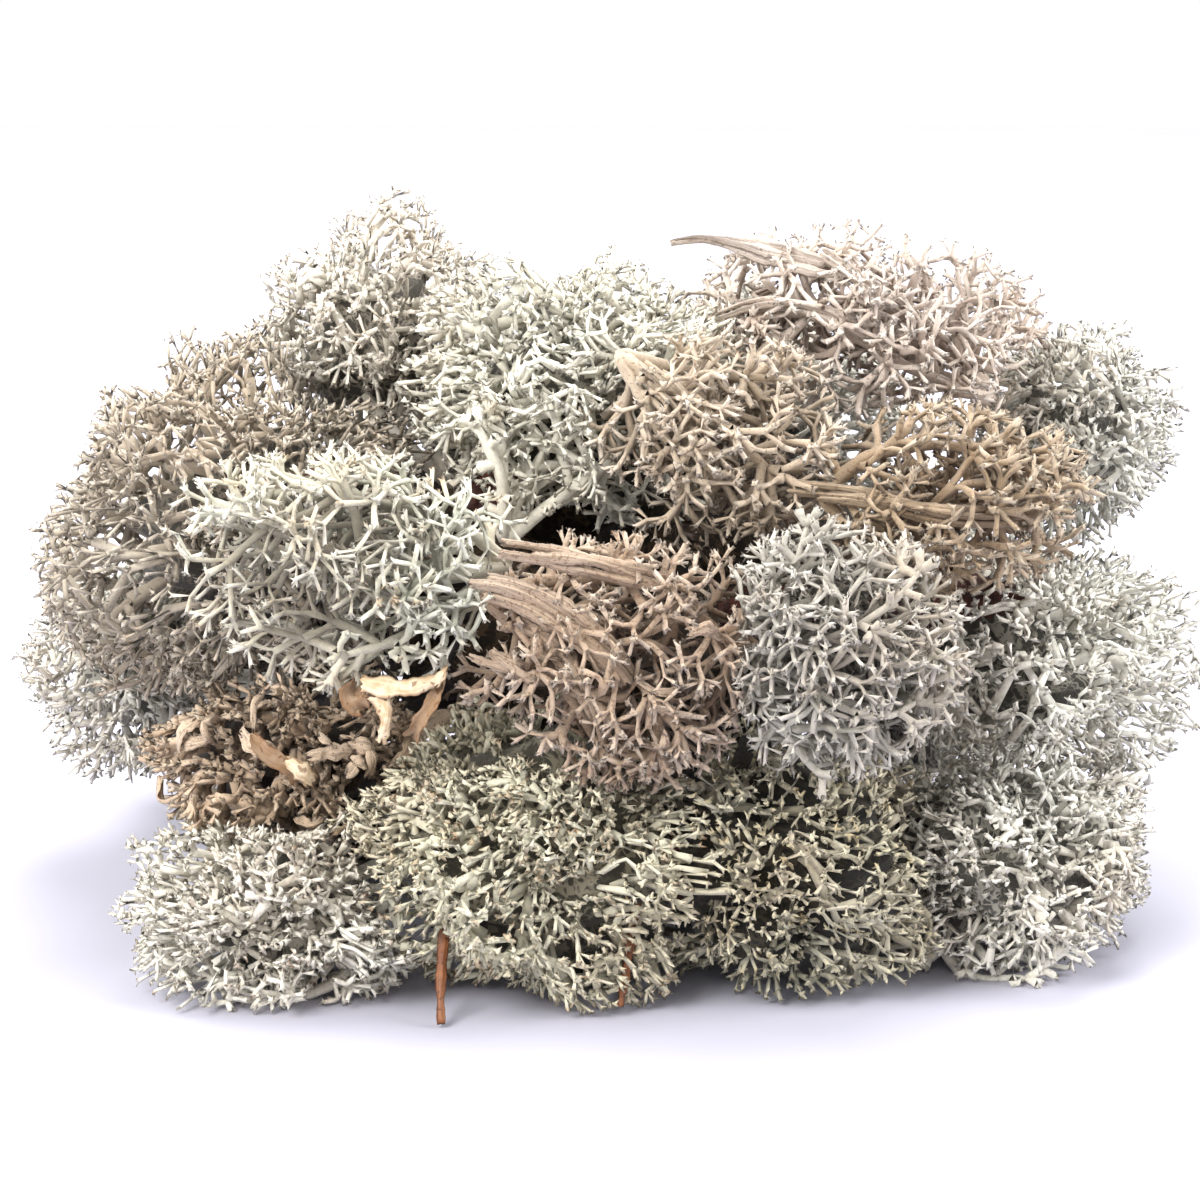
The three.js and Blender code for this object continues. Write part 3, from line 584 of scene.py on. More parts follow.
def fork(rings, middle, way, part, order):
    """The buds at the sectors of rings that end in a fork, up to four at each."""
    corners = rings.shape[1]
    places = skins.all_places()
    radius = np.linalg.norm(places[rings[:, 0]] - middle, axis=-1, keepdims=True)
    crotch = (middle + way * HUB_RISE * radius)[:, None]
    # The crotch corner carries the axil mark, where the material paints shade.
    hub = skins.corners(crotch, part["owner"], tip_mark(order, 1), part["tint"], 1.0)
    lean = LEANS[order + 1]
    buds = []
    for k in range(min(corners, 4)):
        arc = [k, (k + 1) % corners]
        loop = np.concatenate([rings[:, arc], hub], 1)
        side = unit(places[rings[:, arc]].mean(1) - middle)
        heading = unit(way * math.cos(lean) + side * math.sin(lean))
        buds.append({**part, "loop": loop, "joint": middle, "heading": heading})
    return joined(buds)


def closed_roots(joint, heading, owner, tint, radius, corners):
    """Closed starts of branches that stand in a stem, as loops to grow from."""
    first = joint + square(heading)[0]
    rings = ring_places(first, joint, heading, np.broadcast_to(radius, len(joint)), corners)
    loops = skins.corners(rings, owner, 0.0, tint)
    close(loops[:, ::-1])
    return loops


# ---- stems ----
def smooth_course(points, step):
    """Places along a smooth curve (Catmull-Rom) through points, about a step apart."""
    points = np.array(points, float)
    padded = np.concatenate([[2 * points[0] - points[1]], points, [2 * points[-1] - points[-2]]])
    places = []
    for a, b, c, d in zip(padded, padded[1:], padded[2:], padded[3:]):
        count = max(2, round(np.linalg.norm(c - b) / step))
        for t in np.arange(count) / count:
            squared = (2 * a - 5 * b + 4 * c - d) * t**2
            cubed = (3 * b - a - 3 * c + d) * t**3
            places.append(0.5 * (2 * b + (c - a) * t + squared + cubed))
    return np.array(places + [points[-1]])


def frames_along(places):
    """The ways along a course, and two sides square to them that don't twist."""
    ways = unit(np.gradient(places, axis=0))
    u = square(ways[:1])[0][0]
    sides = []
    for way in ways:
        u = unit(u - way * (u @ way))
        sides.append(u)
    sides = np.array(sides)
    return ways, sides, np.cross(ways, sides)


def tube(owner, points, start_radius, end_radius):
    """A stem along a course, ribbed and a little flat, as dried ones are."""
    places = smooth_course(points, STEM_STEP)
    ways, u, v = frames_along(places)
    count = len(places)
    share = np.linspace(0, 1, count)
    turn = 2 * np.pi * np.arange(STEM_CORNERS) / STEM_CORNERS
    twist = rng.random() * ANY_WAVE + share * STEM_TWIST
    ribs = 1 + RIB * np.sin(3 * turn[None, :] + twist[:, None])
    ribs = ribs + RIB_STRAY * rng.standard_normal((count, STEM_CORNERS))
    radius = start_radius + (end_radius - start_radius) * share
    radius = radius * (1 + STEM_STRAY * rng.standard_normal(count))
    radius[[0, -1]] *= STEM_ENDS
    out = turned(u[:, None], STEM_FLATNESS * v[:, None], turn)
    rings = places[:, None] + out * (ribs * radius[:, None])[..., None]
    rings[..., 2] = np.maximum(rings[..., 2], 0.0)
    numbers = skins.corners(rings, np.full(count, owner), 0.0, np.full(count, rng.random()))
    stitch(numbers[:-1], numbers[1:])
    close(numbers[:1, ::-1])
    close(numbers[-1:])
    claim(places[:-1], places[1:], start_radius)
    return places, ways, u, v


def inner_courses(index):
    """Three courses from the foot into the middle of the head, a little apart, or one beside others."""
    foot, head = FEET[index], HEADS[index]
    courses = [[foot, (foot + head) / 2, head]]
    if NAMES[index] in COURSES:
        return courses
    s1, s2 = square(unit(head - foot)[None])
    for way in (s1[0], -s1[0]):
        end = foot * (1 - STEM_REACH) + head * STEM_REACH + (way + 0.5 * s2[0]) * HALVES[index] * STEM_SPREAD
        courses.append([foot, (foot + end) / 2 + way * STEM_RADIUS, end])
    return courses


ICO_T = (1 + math.sqrt(5)) / 2
ICO_CORNERS = np.array(
    [
        (-1, ICO_T, 0), (1, ICO_T, 0), (-1, -ICO_T, 0), (1, -ICO_T, 0), (0, -1, ICO_T), (0, 1, ICO_T),
        (0, -1, -ICO_T), (0, 1, -ICO_T), (ICO_T, 0, -1), (ICO_T, 0, 1), (-ICO_T, 0, -1), (-ICO_T, 0, 1),
    ]
) / math.hypot(1, ICO_T)
ICO_FACES = [
    (0, 11, 5), (0, 5, 1), (0, 1, 7), (0, 7, 10), (0, 10, 11), (1, 5, 9), (5, 11, 4), (11, 10, 2),
    (10, 7, 6), (7, 1, 8), (3, 9, 4), (3, 4, 2), (3, 2, 6), (3, 6, 8), (3, 8, 9), (4, 9, 5), (2, 4, 11),
    (6, 2, 10), (8, 6, 7), (9, 8, 1),
]


def limb_ways(index):
    """The ways of a head's limbs: the middles of the faces of the CAD core's ball, and its corners too
    in a large head."""
    draw = seeded(SEED + SEED_STEP * index)
    a, b, c = (2 * math.pi * draw() for _ in range(3))
    turn_x = np.array([(1, 0, 0), (0, math.cos(a), -math.sin(a)), (0, math.sin(a), math.cos(a))])
    turn_y = np.array([(math.cos(b), 0, math.sin(b)), (0, 1, 0), (-math.sin(b), 0, math.cos(b))])
    turn_z = np.array([(math.cos(c), -math.sin(c), 0), (math.sin(c), math.cos(c), 0), (0, 0, 1)])
    ball = ICO_CORNERS @ (turn_x @ turn_y @ turn_z).T
    ways = [unit(ball[list(face)].mean(0)) for face in ICO_FACES]
    if HALVES[index].mean() > USUAL_HALF:
        ways += list(ball)
    return np.array(ways)


# ---- closed heads ----
def spread(count, lowest=-1.0):
    """Ways spread evenly over a ball, from its top down to a lowest rise."""
    turn = np.pi * (3 - math.sqrt(5)) * np.arange(count)
    rise = np.linspace(1, lowest, count)
    flat = np.sqrt(np.maximum(1 - rise**2, 0))
    return np.stack([flat * np.cos(turn), flat * np.sin(turn), rise], 1)


def sight_of(index, p):
    """The share of all ways in which no head hides points of one head."""
    seen = np.zeros(len(p))
    for way in spread(SIGHT_COUNT, SIGHT_LOWEST):
        clear = np.ones(len(p), bool)
        for other, (head, half) in enumerate(zip(HEADS, HALVES)):
            at, along = (p - head) / half, way / half
            b = at @ along
            nearest = (at * at).sum(1) - np.where(b < 0, b * b / (along @ along), 0)
            clear &= nearest > (OWN_SIGHT_DEPTH if other == index else SIGHT_DEPTH) ** 2
        seen += clear
    return seen / SIGHT_COUNT


def shell(index):
    """Where a closed head's branch tips end, spread over its lobed outside, and their limbs."""
    head, half = HEADS[index], HALVES[index]
    spacing = SPACING * AIRS[index]
    most = half.prod() / half.min()
    total = int(4 * np.pi * most / (TRIANGULAR * spacing**2))
    ways = unit(spread(total) + STRAY * spacing / half.mean() * rng.standard_normal((total, 3)))
    stretch = half.prod() * np.linalg.norm(ways / half, axis=1)
    ways = ways[rng.random(total) < stretch / most]
    axes = limb_ways(index)
    axes = unit(axes + LIMB_STRAY * rng.standard_normal(axes.shape))
    reaches = between(REACH_SHARES, len(axes))
    near = ways @ axes.T
    limb = near.argmax(1)
    off = np.clip((1 - near.max(1)) / LOBE_EDGE, 0, LOBE_MOST)
    tufts = ways @ spread(max(FEWEST_TUFTS, int(total / TUFT_TIPS))).T
    tuft_off = (1 - tufts.max(1)) * total / TUFT_TIPS / 2
    share = reaches[limb] - LOBE * off + lumps(head + ways * half)
    p = head + ways * half * share[:, None]
    lower = np.where(rng.random(len(p)) < LOW_SHARE, between(LOW_BY, len(p)), 0)
    p -= ways * (TUFT * tuft_off + lower + DEPTH_STRAY * rng.standard_normal(len(p)))[:, None]
    own = np.full(len(p), index)
    shown = (p[:, 2] > TIP_LOWEST) & (depth_in_others(own, p) > HIDDEN)
    shown &= sight_of(index, p) >= UNSEEN
    return p[shown], total


def gather(ends, index, count, sink):
    """Joins branch ends that lie together in forks further in. Gives the forks, and each end's one."""
    head, half = HEADS[index], HALVES[index]
    seeds = unit(spread(count) + STRAY / math.sqrt(count) * rng.standard_normal((count, 3)))
    group = (unit((ends - head) / half) @ seeds.T).argmax(1)
    group = np.unique(group, return_inverse=True)[1]
    size = np.bincount(group)
    middle = np.stack([np.bincount(group, ends[:, k]) / size for k in range(3)], 1)
    out = middle - head
    inward = unit(tilts(middle) - unit(unit(out) + unit(out / half**2)))
    depth = np.linalg.norm(out, axis=1, keepdims=True)
    forks = middle + inward * np.minimum(sink, depth * SINK_MOST)
    forks += STRAY * sink * 0.5 * rng.standard_normal(forks.shape)
    forks[:, 2] = np.maximum(forks[:, 2], FORK_LOWEST)
    return forks, group


def closed_tree(index):
    """The levels of a closed head's branches, from its limbs to its tips: each one's ends and parents."""
    ends, total = shell(index)
    levels = []
    for k, sink in enumerate(SINKS):
        count = max(FEWEST_FORKS, int(total / PER_FORK ** (k + 1)))
        forks, parents = gather(ends, index, count, sink * SPACING * AIRS[index])
        levels.append((ends, parents))
        ends = forks
    levels.append((ends, None))
    return levels[::-1]


def grow_closed(indices):
    """Grows the branches of all closed heads, order by order, and gives back the buds at their tips."""
    trees = [closed_tree(index) for index in indices]
    before = starts = None
    for order in range(LAST + 1):
        ends = np.concatenate([tree[order][0] for tree in trees])
        counts = [len(tree[order][0]) for tree in trees]
        owner = np.repeat(indices, counts)
        if order == 0:
            joint = HEADS[owner] + LIMB_START * (ends - HEADS[owner])
            heading = unit(ends - joint)
            tint = rng.random(len(ends))
            sunk = LIMB_SUNK * RADII[0]
        else:
            parent = np.concatenate([tree[order][1] + start for tree, start in zip(trees, starts)])
            joint, heading, tint = (values[parent] for values in before)
            sunk = ROOT_SUNK * RADII[order - 1]
        radius = RADII[order] * thickness(owner, tint)
        corners = RING_CORNERS[order] if order < LAST else CLOSED_STAR_CORNERS
        loops = closed_roots(joint - heading * sunk, heading, owner, tint, ROOT_WIDTH * radius, corners)
        for t in (WAIST_AT, 1) if order < LAST else (1,):
            place, way = bend_through(joint, heading, ends, t)
            size = radius * (FLARE if t == 1 else WAIST)
            loops = lengthen(loops, place, way, size, corners, owner, tip_mark(order, t), tint)
        claim(joint, ends, RADII[order])
        if order < LAST:
            close(loops)
        before, starts = (ends, way, tint), np.cumsum([0] + counts)
    return fork(loops, ends, way, {"owner": owner, "tint": tint}, LAST)


def core(index):
    """A rough shell in the middle of a closed head, for its dense inner tangle, which its material paints
    dark as shade.
    """
    mesh = bmesh.new()
    bmesh.ops.create_icosphere(mesh, subdivisions=4 if NAMES[index] in FINE_CORES else 3, radius=1.0)
    ways = np.array([v.co for v in mesh.verts])
    faces = np.array([[v.index for v in face.verts] for face in mesh.faces])
    mesh.free()
    share = CORE_DEPTHS.get(NAMES[index], CORE_DEPTH) * (1 + CORE_ROUGH * rng.standard_normal(len(ways)))
    places = HEADS[index] + ways * HALVES[index] * share[:, None]
    tint = np.full(len(places), 0.5)
    numbers = skins.corners(places[:, None], np.full(len(places), index), CORE_MARK, tint)
    skins.triangles(numbers[:, 0][faces])


def side_buds(index, places, ways, u, v):
    """Buds along an open stem and at its end. They start as branches of the second order."""
    step = np.linalg.norm(places[1] - places[0])
    chosen = np.arange(3, len(places) - 1, max(1, round(BUD_STEP * AIRS[index] / step)))
    turns = rng.random() * ANY_TURN + BUD_TURN * np.arange(len(chosen))
    heading = unit(ways[chosen] * SIDE_SPREAD + turned(u[chosen], v[chosen], turns))
    last_turn = rng.random() * ANY_TURN + 2 * np.pi * np.arange(3) / 3
    end_heading = unit(ways[-1:] * END_SPREAD + turned(u[-1:], v[-1:], last_turn))
    heading = np.concatenate([heading, end_heading])
    joint = np.concatenate([places[chosen], np.repeat(places[-1:], 3, 0)])
    count = len(joint)
    owner = np.full(count, index)
    tint = rng.random(count)
    loops = closed_roots(joint, heading, owner, tint, BUD_RADIUS, BUD_CORNERS)
    return {"loop": loops, "joint": joint, "heading": heading, "owner": owner, "tint": tint}


# ---- scraps, dead stems and flakes, which are all strips ----
# Each scrap: its finish, thickness, the way it faces, how rough and how torn it is, and its strips. Each
# strip has its points, widths, bow and twist.
SCRAPS = [
    ("bark_slab", "bark", 1.6, (0.15, -1, 0.35), 0.4, 1.5, [
        (
            [(15, -25, 46), (25, -23, 47), (36, -21, 47.2), (46, -19, 46.6), (54, -18, 46)],
            (4, 9, 10, 8, 3), 0.9, 0,
        ),
    ]),
    ("bark_chip", "bark", 1.2, (-0.2, -1, 0.1), 0.3, 1.0, [
        ([(-21.4, -19.6, 54), (-18.4, -18, 57), (-16.4, -17.5, 61)], (4, 7, 4), 0.5, 0),
    ]),
    ("bark_sliver", "bark", 1.0, (0, -1, 0), 0.12, 0.7, [
        ([(11.4, -44.5, 11), (11, -45.3, 15), (10.4, -44.5, 21)], (1, 1.5, 1), 0.2, 0),
    ]),
    ("needle_left", "needle", 0.9, (0, -1, 0), 0.03, 0.3, [
        ([(-18.2, -52, 0.5), (-18.3, -49, 4.5), (-18, -44.6, 10)], (0.9, 1.2, 1.2), 0, 0),
    ]),
    ("needle_right", "needle", 0.9, (0, -1, 0), 0.03, 0.3, [
        ([(4.1, -52, 1.2), (5.2, -49.5, 7), (6.4, -46, 14)], (0.9, 1.2, 1.3), 0, 0),
    ]),
    ("brown_twig", "twig", 0.9, (-0.3, -1, 0.3), 0.1, 0.4, [
        ([(-40.5, -25.5, 55), (-36.5, -24.5, 58.5), (-33, -21.5, 62)], (1, 1.6, 1), 0.3, 0),
    ]),
    ("curled_scrap", "paper", 0.25, (0, -1, 0.6), 0.05, 1.1, [
        (
            [(-27.8, -45.4, 40.7), (-25.4, -46.1, 40.5), (-22, -46, 40.3), (-18.4, -45.4, 41.2)],
            (2.0, 2.7, 2.0, 1.8), 0.35, 0.3,
        ),
        ([(-27.4, -45, 41.2), (-28.4, -46.5, 39.2), (-26.8, -45.8, 36.8)], (1.8, 3.6, 1.4), -1.2, 0.9),
        ([(-25.4, -46, 39.6), (-24.7, -46.4, 36.6), (-25.3, -45.6, 33.4)], (3.0, 1.3, 1.5), 0.6, 0.6),
        (
            [(-18.4, -45.2, 41.4), (-19.2, -46.4, 38.8), (-20.8, -46.3, 36.2), (-22.2, -45.4, 33.4)],
            (1.6, 1.7, 1.6, 2.3), -0.8, -1.1,
        ),
        ([(-19.2, -45.6, 40.6), (-18.1, -46, 41.8), (-17.4, -45.7, 43)], (1.8, 1.2, 0.2), 0.2, 0.8),
    ]),
    ("film_scrap", "paper", 0.25, (0, -1, 0.3), 0.05, 1.4, [
        (
            [(-41.5, -33.6, 32), (-40, -34.8, 30), (-37.5, -35.4, 28.4), (-35, -34.9, 26.6)],
            (0.7, 2.3, 2.0, 3.6), -0.6, 1.0,
        ),
        ([(-37.6, -35, 29), (-35.4, -35.9, 27.8), (-33.8, -35.2, 25.8)], (1.0, 2.3, 1.8), 0.5, -0.8),
    ]),
]
# Each flat dead stem, torn lengthwise in strands: its cushion, the way it faces, its widths and points.
DEAD_STEMS = [
    (
        "tan_top_right", (0.2, -0.8, 0.8), (0.4, 0.9, 3.4, 3.0, 1.6),
        [(9.5, -5, 86), (13.5, -5, 86.4), (18, -4.8, 85.6), (25, -4.4, 84), (33, -4, 81.6)],
    ),
    (
        "tan_top_right", (0, -1, 0.4), (0.8, 1.8, 2.0, 1.4),
        [(15, -8.5, 77), (21, -9.5, 79), (29, -9.6, 78), (38, -9, 73)],
    ),
    (
        "tan_top_right", (0, -0.7, 0.8), (1.2, 1.8, 1.8, 1.0),
        [(27, -6, 86.4), (31, -6.6, 83), (38, -7, 78.4), (45, -6, 73)],
    ),
    (
        "tan_middle_tangle", (0, -1, 0.3), (2.2, 3.2, 3.4, 3.0, 2.0),
        [(-16.5, -45.8, 53), (-11, -46.2, 52.4), (-5, -46.4, 50), (2, -47, 44.5), (6.5, -46.2, 37.5)],
    ),
    (
        "tan_middle_tangle", (0, -1, 0.2), (1.6, 2.4, 2.2),
        [(-14.5, -46.2, 45.4), (-10, -46.8, 43.6), (-5, -46.6, 40.2)],
    ),
    (
        "tan_middle_tangle", (0, -1, 0.5), (1.6, 2.6, 2.4, 1.6),
        [(-11, -45, 57), (-5, -45.2, 56), (2, -44.6, 54.6), (9, -43.6, 52)],
    ),
    (
        "tan_middle_tangle", (0, -1, 0), (1.4, 2.2, 2.0, 1.2),
        [(-9, -45.6, 48.5), (-4, -46.6, 45), (-0.5, -47, 39.5), (2, -46, 32.5)],
    ),
    (
        "tan_ridge", (-0.3, -1, 0.3), (1.4, 2.4, 2.6, 1.8),
        [(3.5, -28.6, 77), (7, -28.6, 74), (11.5, -29.4, 70.4), (18, -30.6, 66)],
    ),
    (
        "tan_right_tangle", (0, -1, 0.3), (1.4, 2.2, 2.4, 1.6),
        [(23, -32, 61), (32, -33.4, 60.2), (41, -33.6, 58.4), (51, -30.6, 57.4)],
    ),
]
FLAKES = {"brown_left_cushion": 24, "tan_middle_tangle": 6}  # papery lobes on the front of a head
FLAKE_LENGTH = (3.2, 6.5)
FLAKE_WIDTH = (0.9, 2.4)
FLAKE_DEPTH = (0.8, 0.94)  # how far out in its head
FLAKE_BOW = (-0.44, 0.66)
FLAKE_BEND = 0.6
FLAKE_SIDE = np.array([0.0, -1.1, 0.25])
FLAKE_STRAY = np.array([1.0, 0.45, 0.8])
STRANDS = (-1, 0, 1)
STRAND_PART = 0.34  # how far apart a stem's strands lie, against its width
STRAND_WIDTH = 0.5
STRAND_STEP = 2.0
OUTER_STRANDS_LOWER = 0.3
STRIP_STEP = 0.5
EDGE = 0.12  # how thin a strip gets at its sides
JAGS = (0.4, 1.0)  # how far the fibres at its ends are torn back, by turns
TORN_RINGS = (1.0, 0.6)  # and by how much its last ring and the one before
# Waves along a strip: their height and their number, in radians.
RAGGED = (0.14, 17)
FIBRES = (0.6, 9)
CURL = (0.4, 6)
STRAND_ASIDE = (0.25, 7)
STRAND_PROUD = (0.4, 6)
RAGGED_STRAY = 0.08
FIBRE_STRAY = 0.4
HOLLOW_MARK = 0.5  # the tip mark of a strip's hollow side, which a scrap's material paints darker as shade


def wavy(along, shape, start):
    """A wave along a strip, from its height and number."""
    height, waves = shape
    return height * np.sin(waves * along + start)


def ribbon(points, step, widths, face):
    """A strip's places and ways, its outward and sideways ways, and its shares of the way and widths."""
    places = smooth_course(points, step)
    ways = unit(np.gradient(places, axis=0))
    face = np.array(face, float)
    out = unit(face - ways * (ways @ face)[:, None])
    along = np.linspace(0, 1, len(places))
    width = np.interp(along, np.linspace(0, 1, len(widths)), widths)
    return places, ways, out, np.cross(ways, out), along, width


def strip(owner, points, widths, thickness, bow, face, rough, torn, twist, columns=9):
    """A bowed and twisted strip along a course, closed on all sides, with fibres and torn sides and ends."""
    places, ways, out, side, along, width = ribbon(points, STRIP_STEP, widths, face)
    count = len(places)
    turn = twist * (along - 0.5)
    out, side = turned(out, side, turn), turned(side, -out, turn)
    across = np.linspace(-1, 1, columns)
    starts = rng.random(2) * ANY_WAVE
    ragged = 1 + wavy(along, RAGGED, starts[0]) + RAGGED_STRAY * rng.standard_normal(count)
    fibres = rng.standard_normal(columns) + wavy(along[:, None], FIBRES, ANY_WAVE * rng.random(columns))
    fibres = fibres + FIBRE_STRAY * rng.standard_normal((count, columns))
    curl = bow * (1 + wavy(along, CURL, starts[1]))
    height = curl[:, None] * (1 - across**2) + rough * fibres
    flat = places[:, None] + side[:, None] * (across[None] * (width * ragged / 2)[:, None])[..., None]
    thin = thickness / 2 * np.sqrt(np.maximum(1 - across**2, EDGE))[None, :, None]
    front = flat + out[:, None] * (height[..., None] + thin)
    back = flat + out[:, None] * (height[..., None] - thin)
    rings = np.concatenate([front, back[:, ::-1]], 1)
    jag = torn * rng.random(columns) * np.resize(JAGS, columns)
    jag = np.concatenate([jag, jag[::-1]])
    for k, share in enumerate(TORN_RINGS):
        rings[k] += ways[k] * jag[:, None] * share
        rings[-1 - k] -= ways[-1 - k] * jag[::-1, None] * share
    rings[..., 2] = np.maximum(rings[..., 2], 0.0)
    grain = 1.5 + np.concatenate([across, across[::-1]]) / 2
    # The hollow side is marked, and a scrap's material paints shade there.
    hollow = HOLLOW_MARK * np.repeat([bow < 0, bow >= 0], columns)
    numbers = skins.corners(rings, np.full(count, owner), hollow[None], along, grain=grain[None])
    stitch(numbers[:-1], numbers[1:])
    for ring in (numbers[0], numbers[-1, ::-1]):
        one, other = ring[:columns], ring[: columns - 1 : -1]
        skins.triangles(np.stack([one[:-1], other[:-1], other[1:], one[:-1], other[1:], one[1:]], 1))


def dead_stem(owner, points, widths, face):
    """A flat stem torn lengthwise in strands, which part at its ends."""
    middle, _, out, side, along, width = ribbon(points, STRAND_STEP, widths, face)
    for strand in STRANDS:
        starts = rng.random(2) * ANY_WAVE
        parted = 0.9 + 0.5 * (2 * along - 1) ** 2
        aside = strand * STRAND_PART * width * parted + wavy(along, STRAND_ASIDE, starts[0])
        proud = wavy(along, STRAND_PROUD, starts[1]) - OUTER_STRANDS_LOWER * abs(strand)
        places = middle + side * aside[:, None] + out * proud[:, None]
        some = slice(rng.integers(0, 3), len(places) - rng.integers(0, 3))
        twist = rng.standard_normal() * 0.5
        strip(
            owner, places[some], STRAND_WIDTH * width[some], thickness=0.8, bow=0.25, face=face, rough=0.1,
            torn=1.2, twist=twist, columns=6,
        )


def flake(owner):
    """A short curved lobe somewhere on the front of a head."""
    out = unit(FLAKE_STRAY * rng.standard_normal(3) + FLAKE_SIDE)
    way = unit(np.cross(out, rng.standard_normal(3)))
    length, width = between(FLAKE_LENGTH), between(FLAKE_WIDTH)
    seat = HEADS[owner] + out * HALVES[owner] * between(FLAKE_DEPTH)
    bend = np.cross(out, way) * (rng.random() - 0.5) * length * FLAKE_BEND
    reach_out = way * length / 2
    points = [seat - reach_out - out * 1.2, seat + bend + out * 0.5, seat + reach_out - out]
    face = unit(out + FLAKE_BEND * rng.standard_normal(3))
    bow = between(FLAKE_BOW)
    strip(
        owner, points, (width * 0.4, width, width * 0.8), thickness=0.3, bow=bow, face=face, rough=0.05,
        torn=1.5, twist=rng.standard_normal(), columns=7,
    )


def build_strips():
    """Dead stems and flakes belong to their cushions, and each scrap is a piece of its own."""
    for name, face, widths, points in DEAD_STEMS:
        dead_stem(NAMES.index(name), points, widths, face)
    for name, count in FLAKES.items():
        for _ in range(count):
            flake(NAMES.index(name))
    for index, (_, _, thickness, face, rough, torn, strips) in enumerate(SCRAPS):
        for points, widths, bow, twist in strips:
            strip(len(CUSHIONS) + index, points, widths, thickness, bow, face, rough, torn, twist)


def grow_all():
    """Grows stems, cores and closed heads, then open sprays order by order, and last the strips."""
    sides = []
    for index, name in enumerate(NAMES):
        for course in inner_courses(index):
            tube(index, course, STEM_RADIUS, STEM_END_RADIUS)
        radius = COURSE_RADII.get(name, COURSE_RADIUS)
        for course in COURSES.get(name, []):
            stem = tube(index, [FEET[index], *course], radius, radius * COURSE_TAPER)
            sides.append(side_buds(index, *stem))
    closed = [index for index, kind in enumerate(KINDS) if kind != "open"]
    for index in closed:
        core(index)
    grow_prongs(grow_closed(closed))
    buds, endings = joined(sides), []
    for order in range(1, LAST + 1):
        buds, ends = grow(buds, order)
        endings.append(ends)
    for ends in endings:
        if len(ends["joint"]):
            grow_prongs(ends)
    build_strips()


# ---- materials ----
def color(hex_text):
    """A linear colour from a display one such as "c8ccbd"."""
    parts = [int(hex_text[i : i + 2], 16) / 255 for i in (0, 2, 4)]
    return tuple(x / 12.92 if x <= 0.04045 else ((x + 0.055) / 1.055) ** 2.4 for x in parts) + (1.0,)


class Painter:
    """Builds one material's node tree."""

    def __init__(self, name):
        self.material = bpy.data.materials.new(name)
        self.material.use_nodes = True
        self.tree = self.material.node_tree
        self.shader = self.tree.nodes["Principled BSDF"]
        self.place = self.node("ShaderNodeTexCoord").outputs["Object"]

    def put(self, value, socket):
        """Sets a socket to a value, or links it to another socket."""
        if isinstance(value, bpy.types.NodeSocket):
            self.tree.links.new(value, socket)
        else:
            socket.default_value = value

    def node(self, kind, *values, **settings):
        """A node with values for its first sockets, and settings or sockets by name."""
        made = self.tree.nodes.new(kind)
        for key, value in settings.items():
            if key in made.bl_rna.properties:
                setattr(made, key, value)
            else:
                self.put(value, made.inputs[key])
        for value, socket in zip(values, made.inputs):
            self.put(value, socket)
        return made

    def noise(self, size_mm, detail=2.0, roughness=0.55, output="Fac"):
        scale = 1000.0 / size_mm
        made = self.node("ShaderNodeTexNoise", self.place, Scale=scale, Detail=detail, Roughness=roughness)
        return made.outputs[output]

    def mark(self, name, share=None):
        """One of the corners' marks, or a share of it."""
        fac = self.node("ShaderNodeAttribute", attribute_name=name).outputs["Fac"]
        return fac if share is None else self.math("MULTIPLY", fac, share)

    def math(self, operation, a, b):
        return self.node("ShaderNodeMath", a, b, operation=operation).outputs[0]

    def ramp(self, value, *stops):
        made = self.node("ShaderNodeValToRGB", value)
        for element, (position, shade) in zip(made.color_ramp.elements, stops):
            element.position = position
            element.color = shade if hasattr(shade, "__len__") else (shade, shade, shade, 1)
        return made.outputs["Color"]

    def patches(self, size_mm, *stops, detail=2.0):
        return self.ramp(self.noise(size_mm, detail), *stops)

    def mix(self, factor, a, b, blend="MIX"):
        made = self.node("ShaderNodeMix", factor, data_type="RGBA", blend_type=blend)
        self.put(a, made.inputs[6])
        self.put(b, made.inputs[7])
        return made.outputs[2]

    def fibres(self):
        """Streaks that run along a strip."""
        across = self.mark("grain", 9.0)
        along = self.mark("tint", 2.5)
        place = self.node("ShaderNodeCombineXYZ", across, along).outputs[0]
        return self.node("ShaderNodeTexNoise", place, Scale=1.0, Detail=3.0, Roughness=0.6).outputs["Fac"]

    def gaps(self):
        """The gaps in an uneven net of fine stems painted on a core, where the core gets a darker painted
        shade.
        """
        stray = self.noise(CORE_STRAY_SIZE, 1.0, 0.5, "Color")
        by = (CORE_STRAY * MM,) * 3
        bent = self.node("ShaderNodeVectorMath", stray, by, self.place, operation="MULTIPLY_ADD").outputs[0]
        scale = 1000.0 / CORE_NET
        net = self.node("ShaderNodeTexVoronoi", bent, feature="DISTANCE_TO_EDGE", Scale=scale)
        broken = self.patches(3.0, (0.38, 0.16), (0.52, 0.0), detail=1.0)
        return self.ramp(self.math("ADD", net.outputs["Distance"], broken), (0.07, 0.0), (0.2, 1.0))

    def finish(self, shade, roughness, height, bump_mm, strength):
        self.put(shade, self.shader.inputs["Base Color"])
        self.put(roughness, self.shader.inputs["Roughness"])
        bump = self.node("ShaderNodeBump", Strength=strength, Distance=bump_mm * MM, Height=height)
        self.put(bump.outputs["Normal"], self.shader.inputs["Normal"])
        return self.material
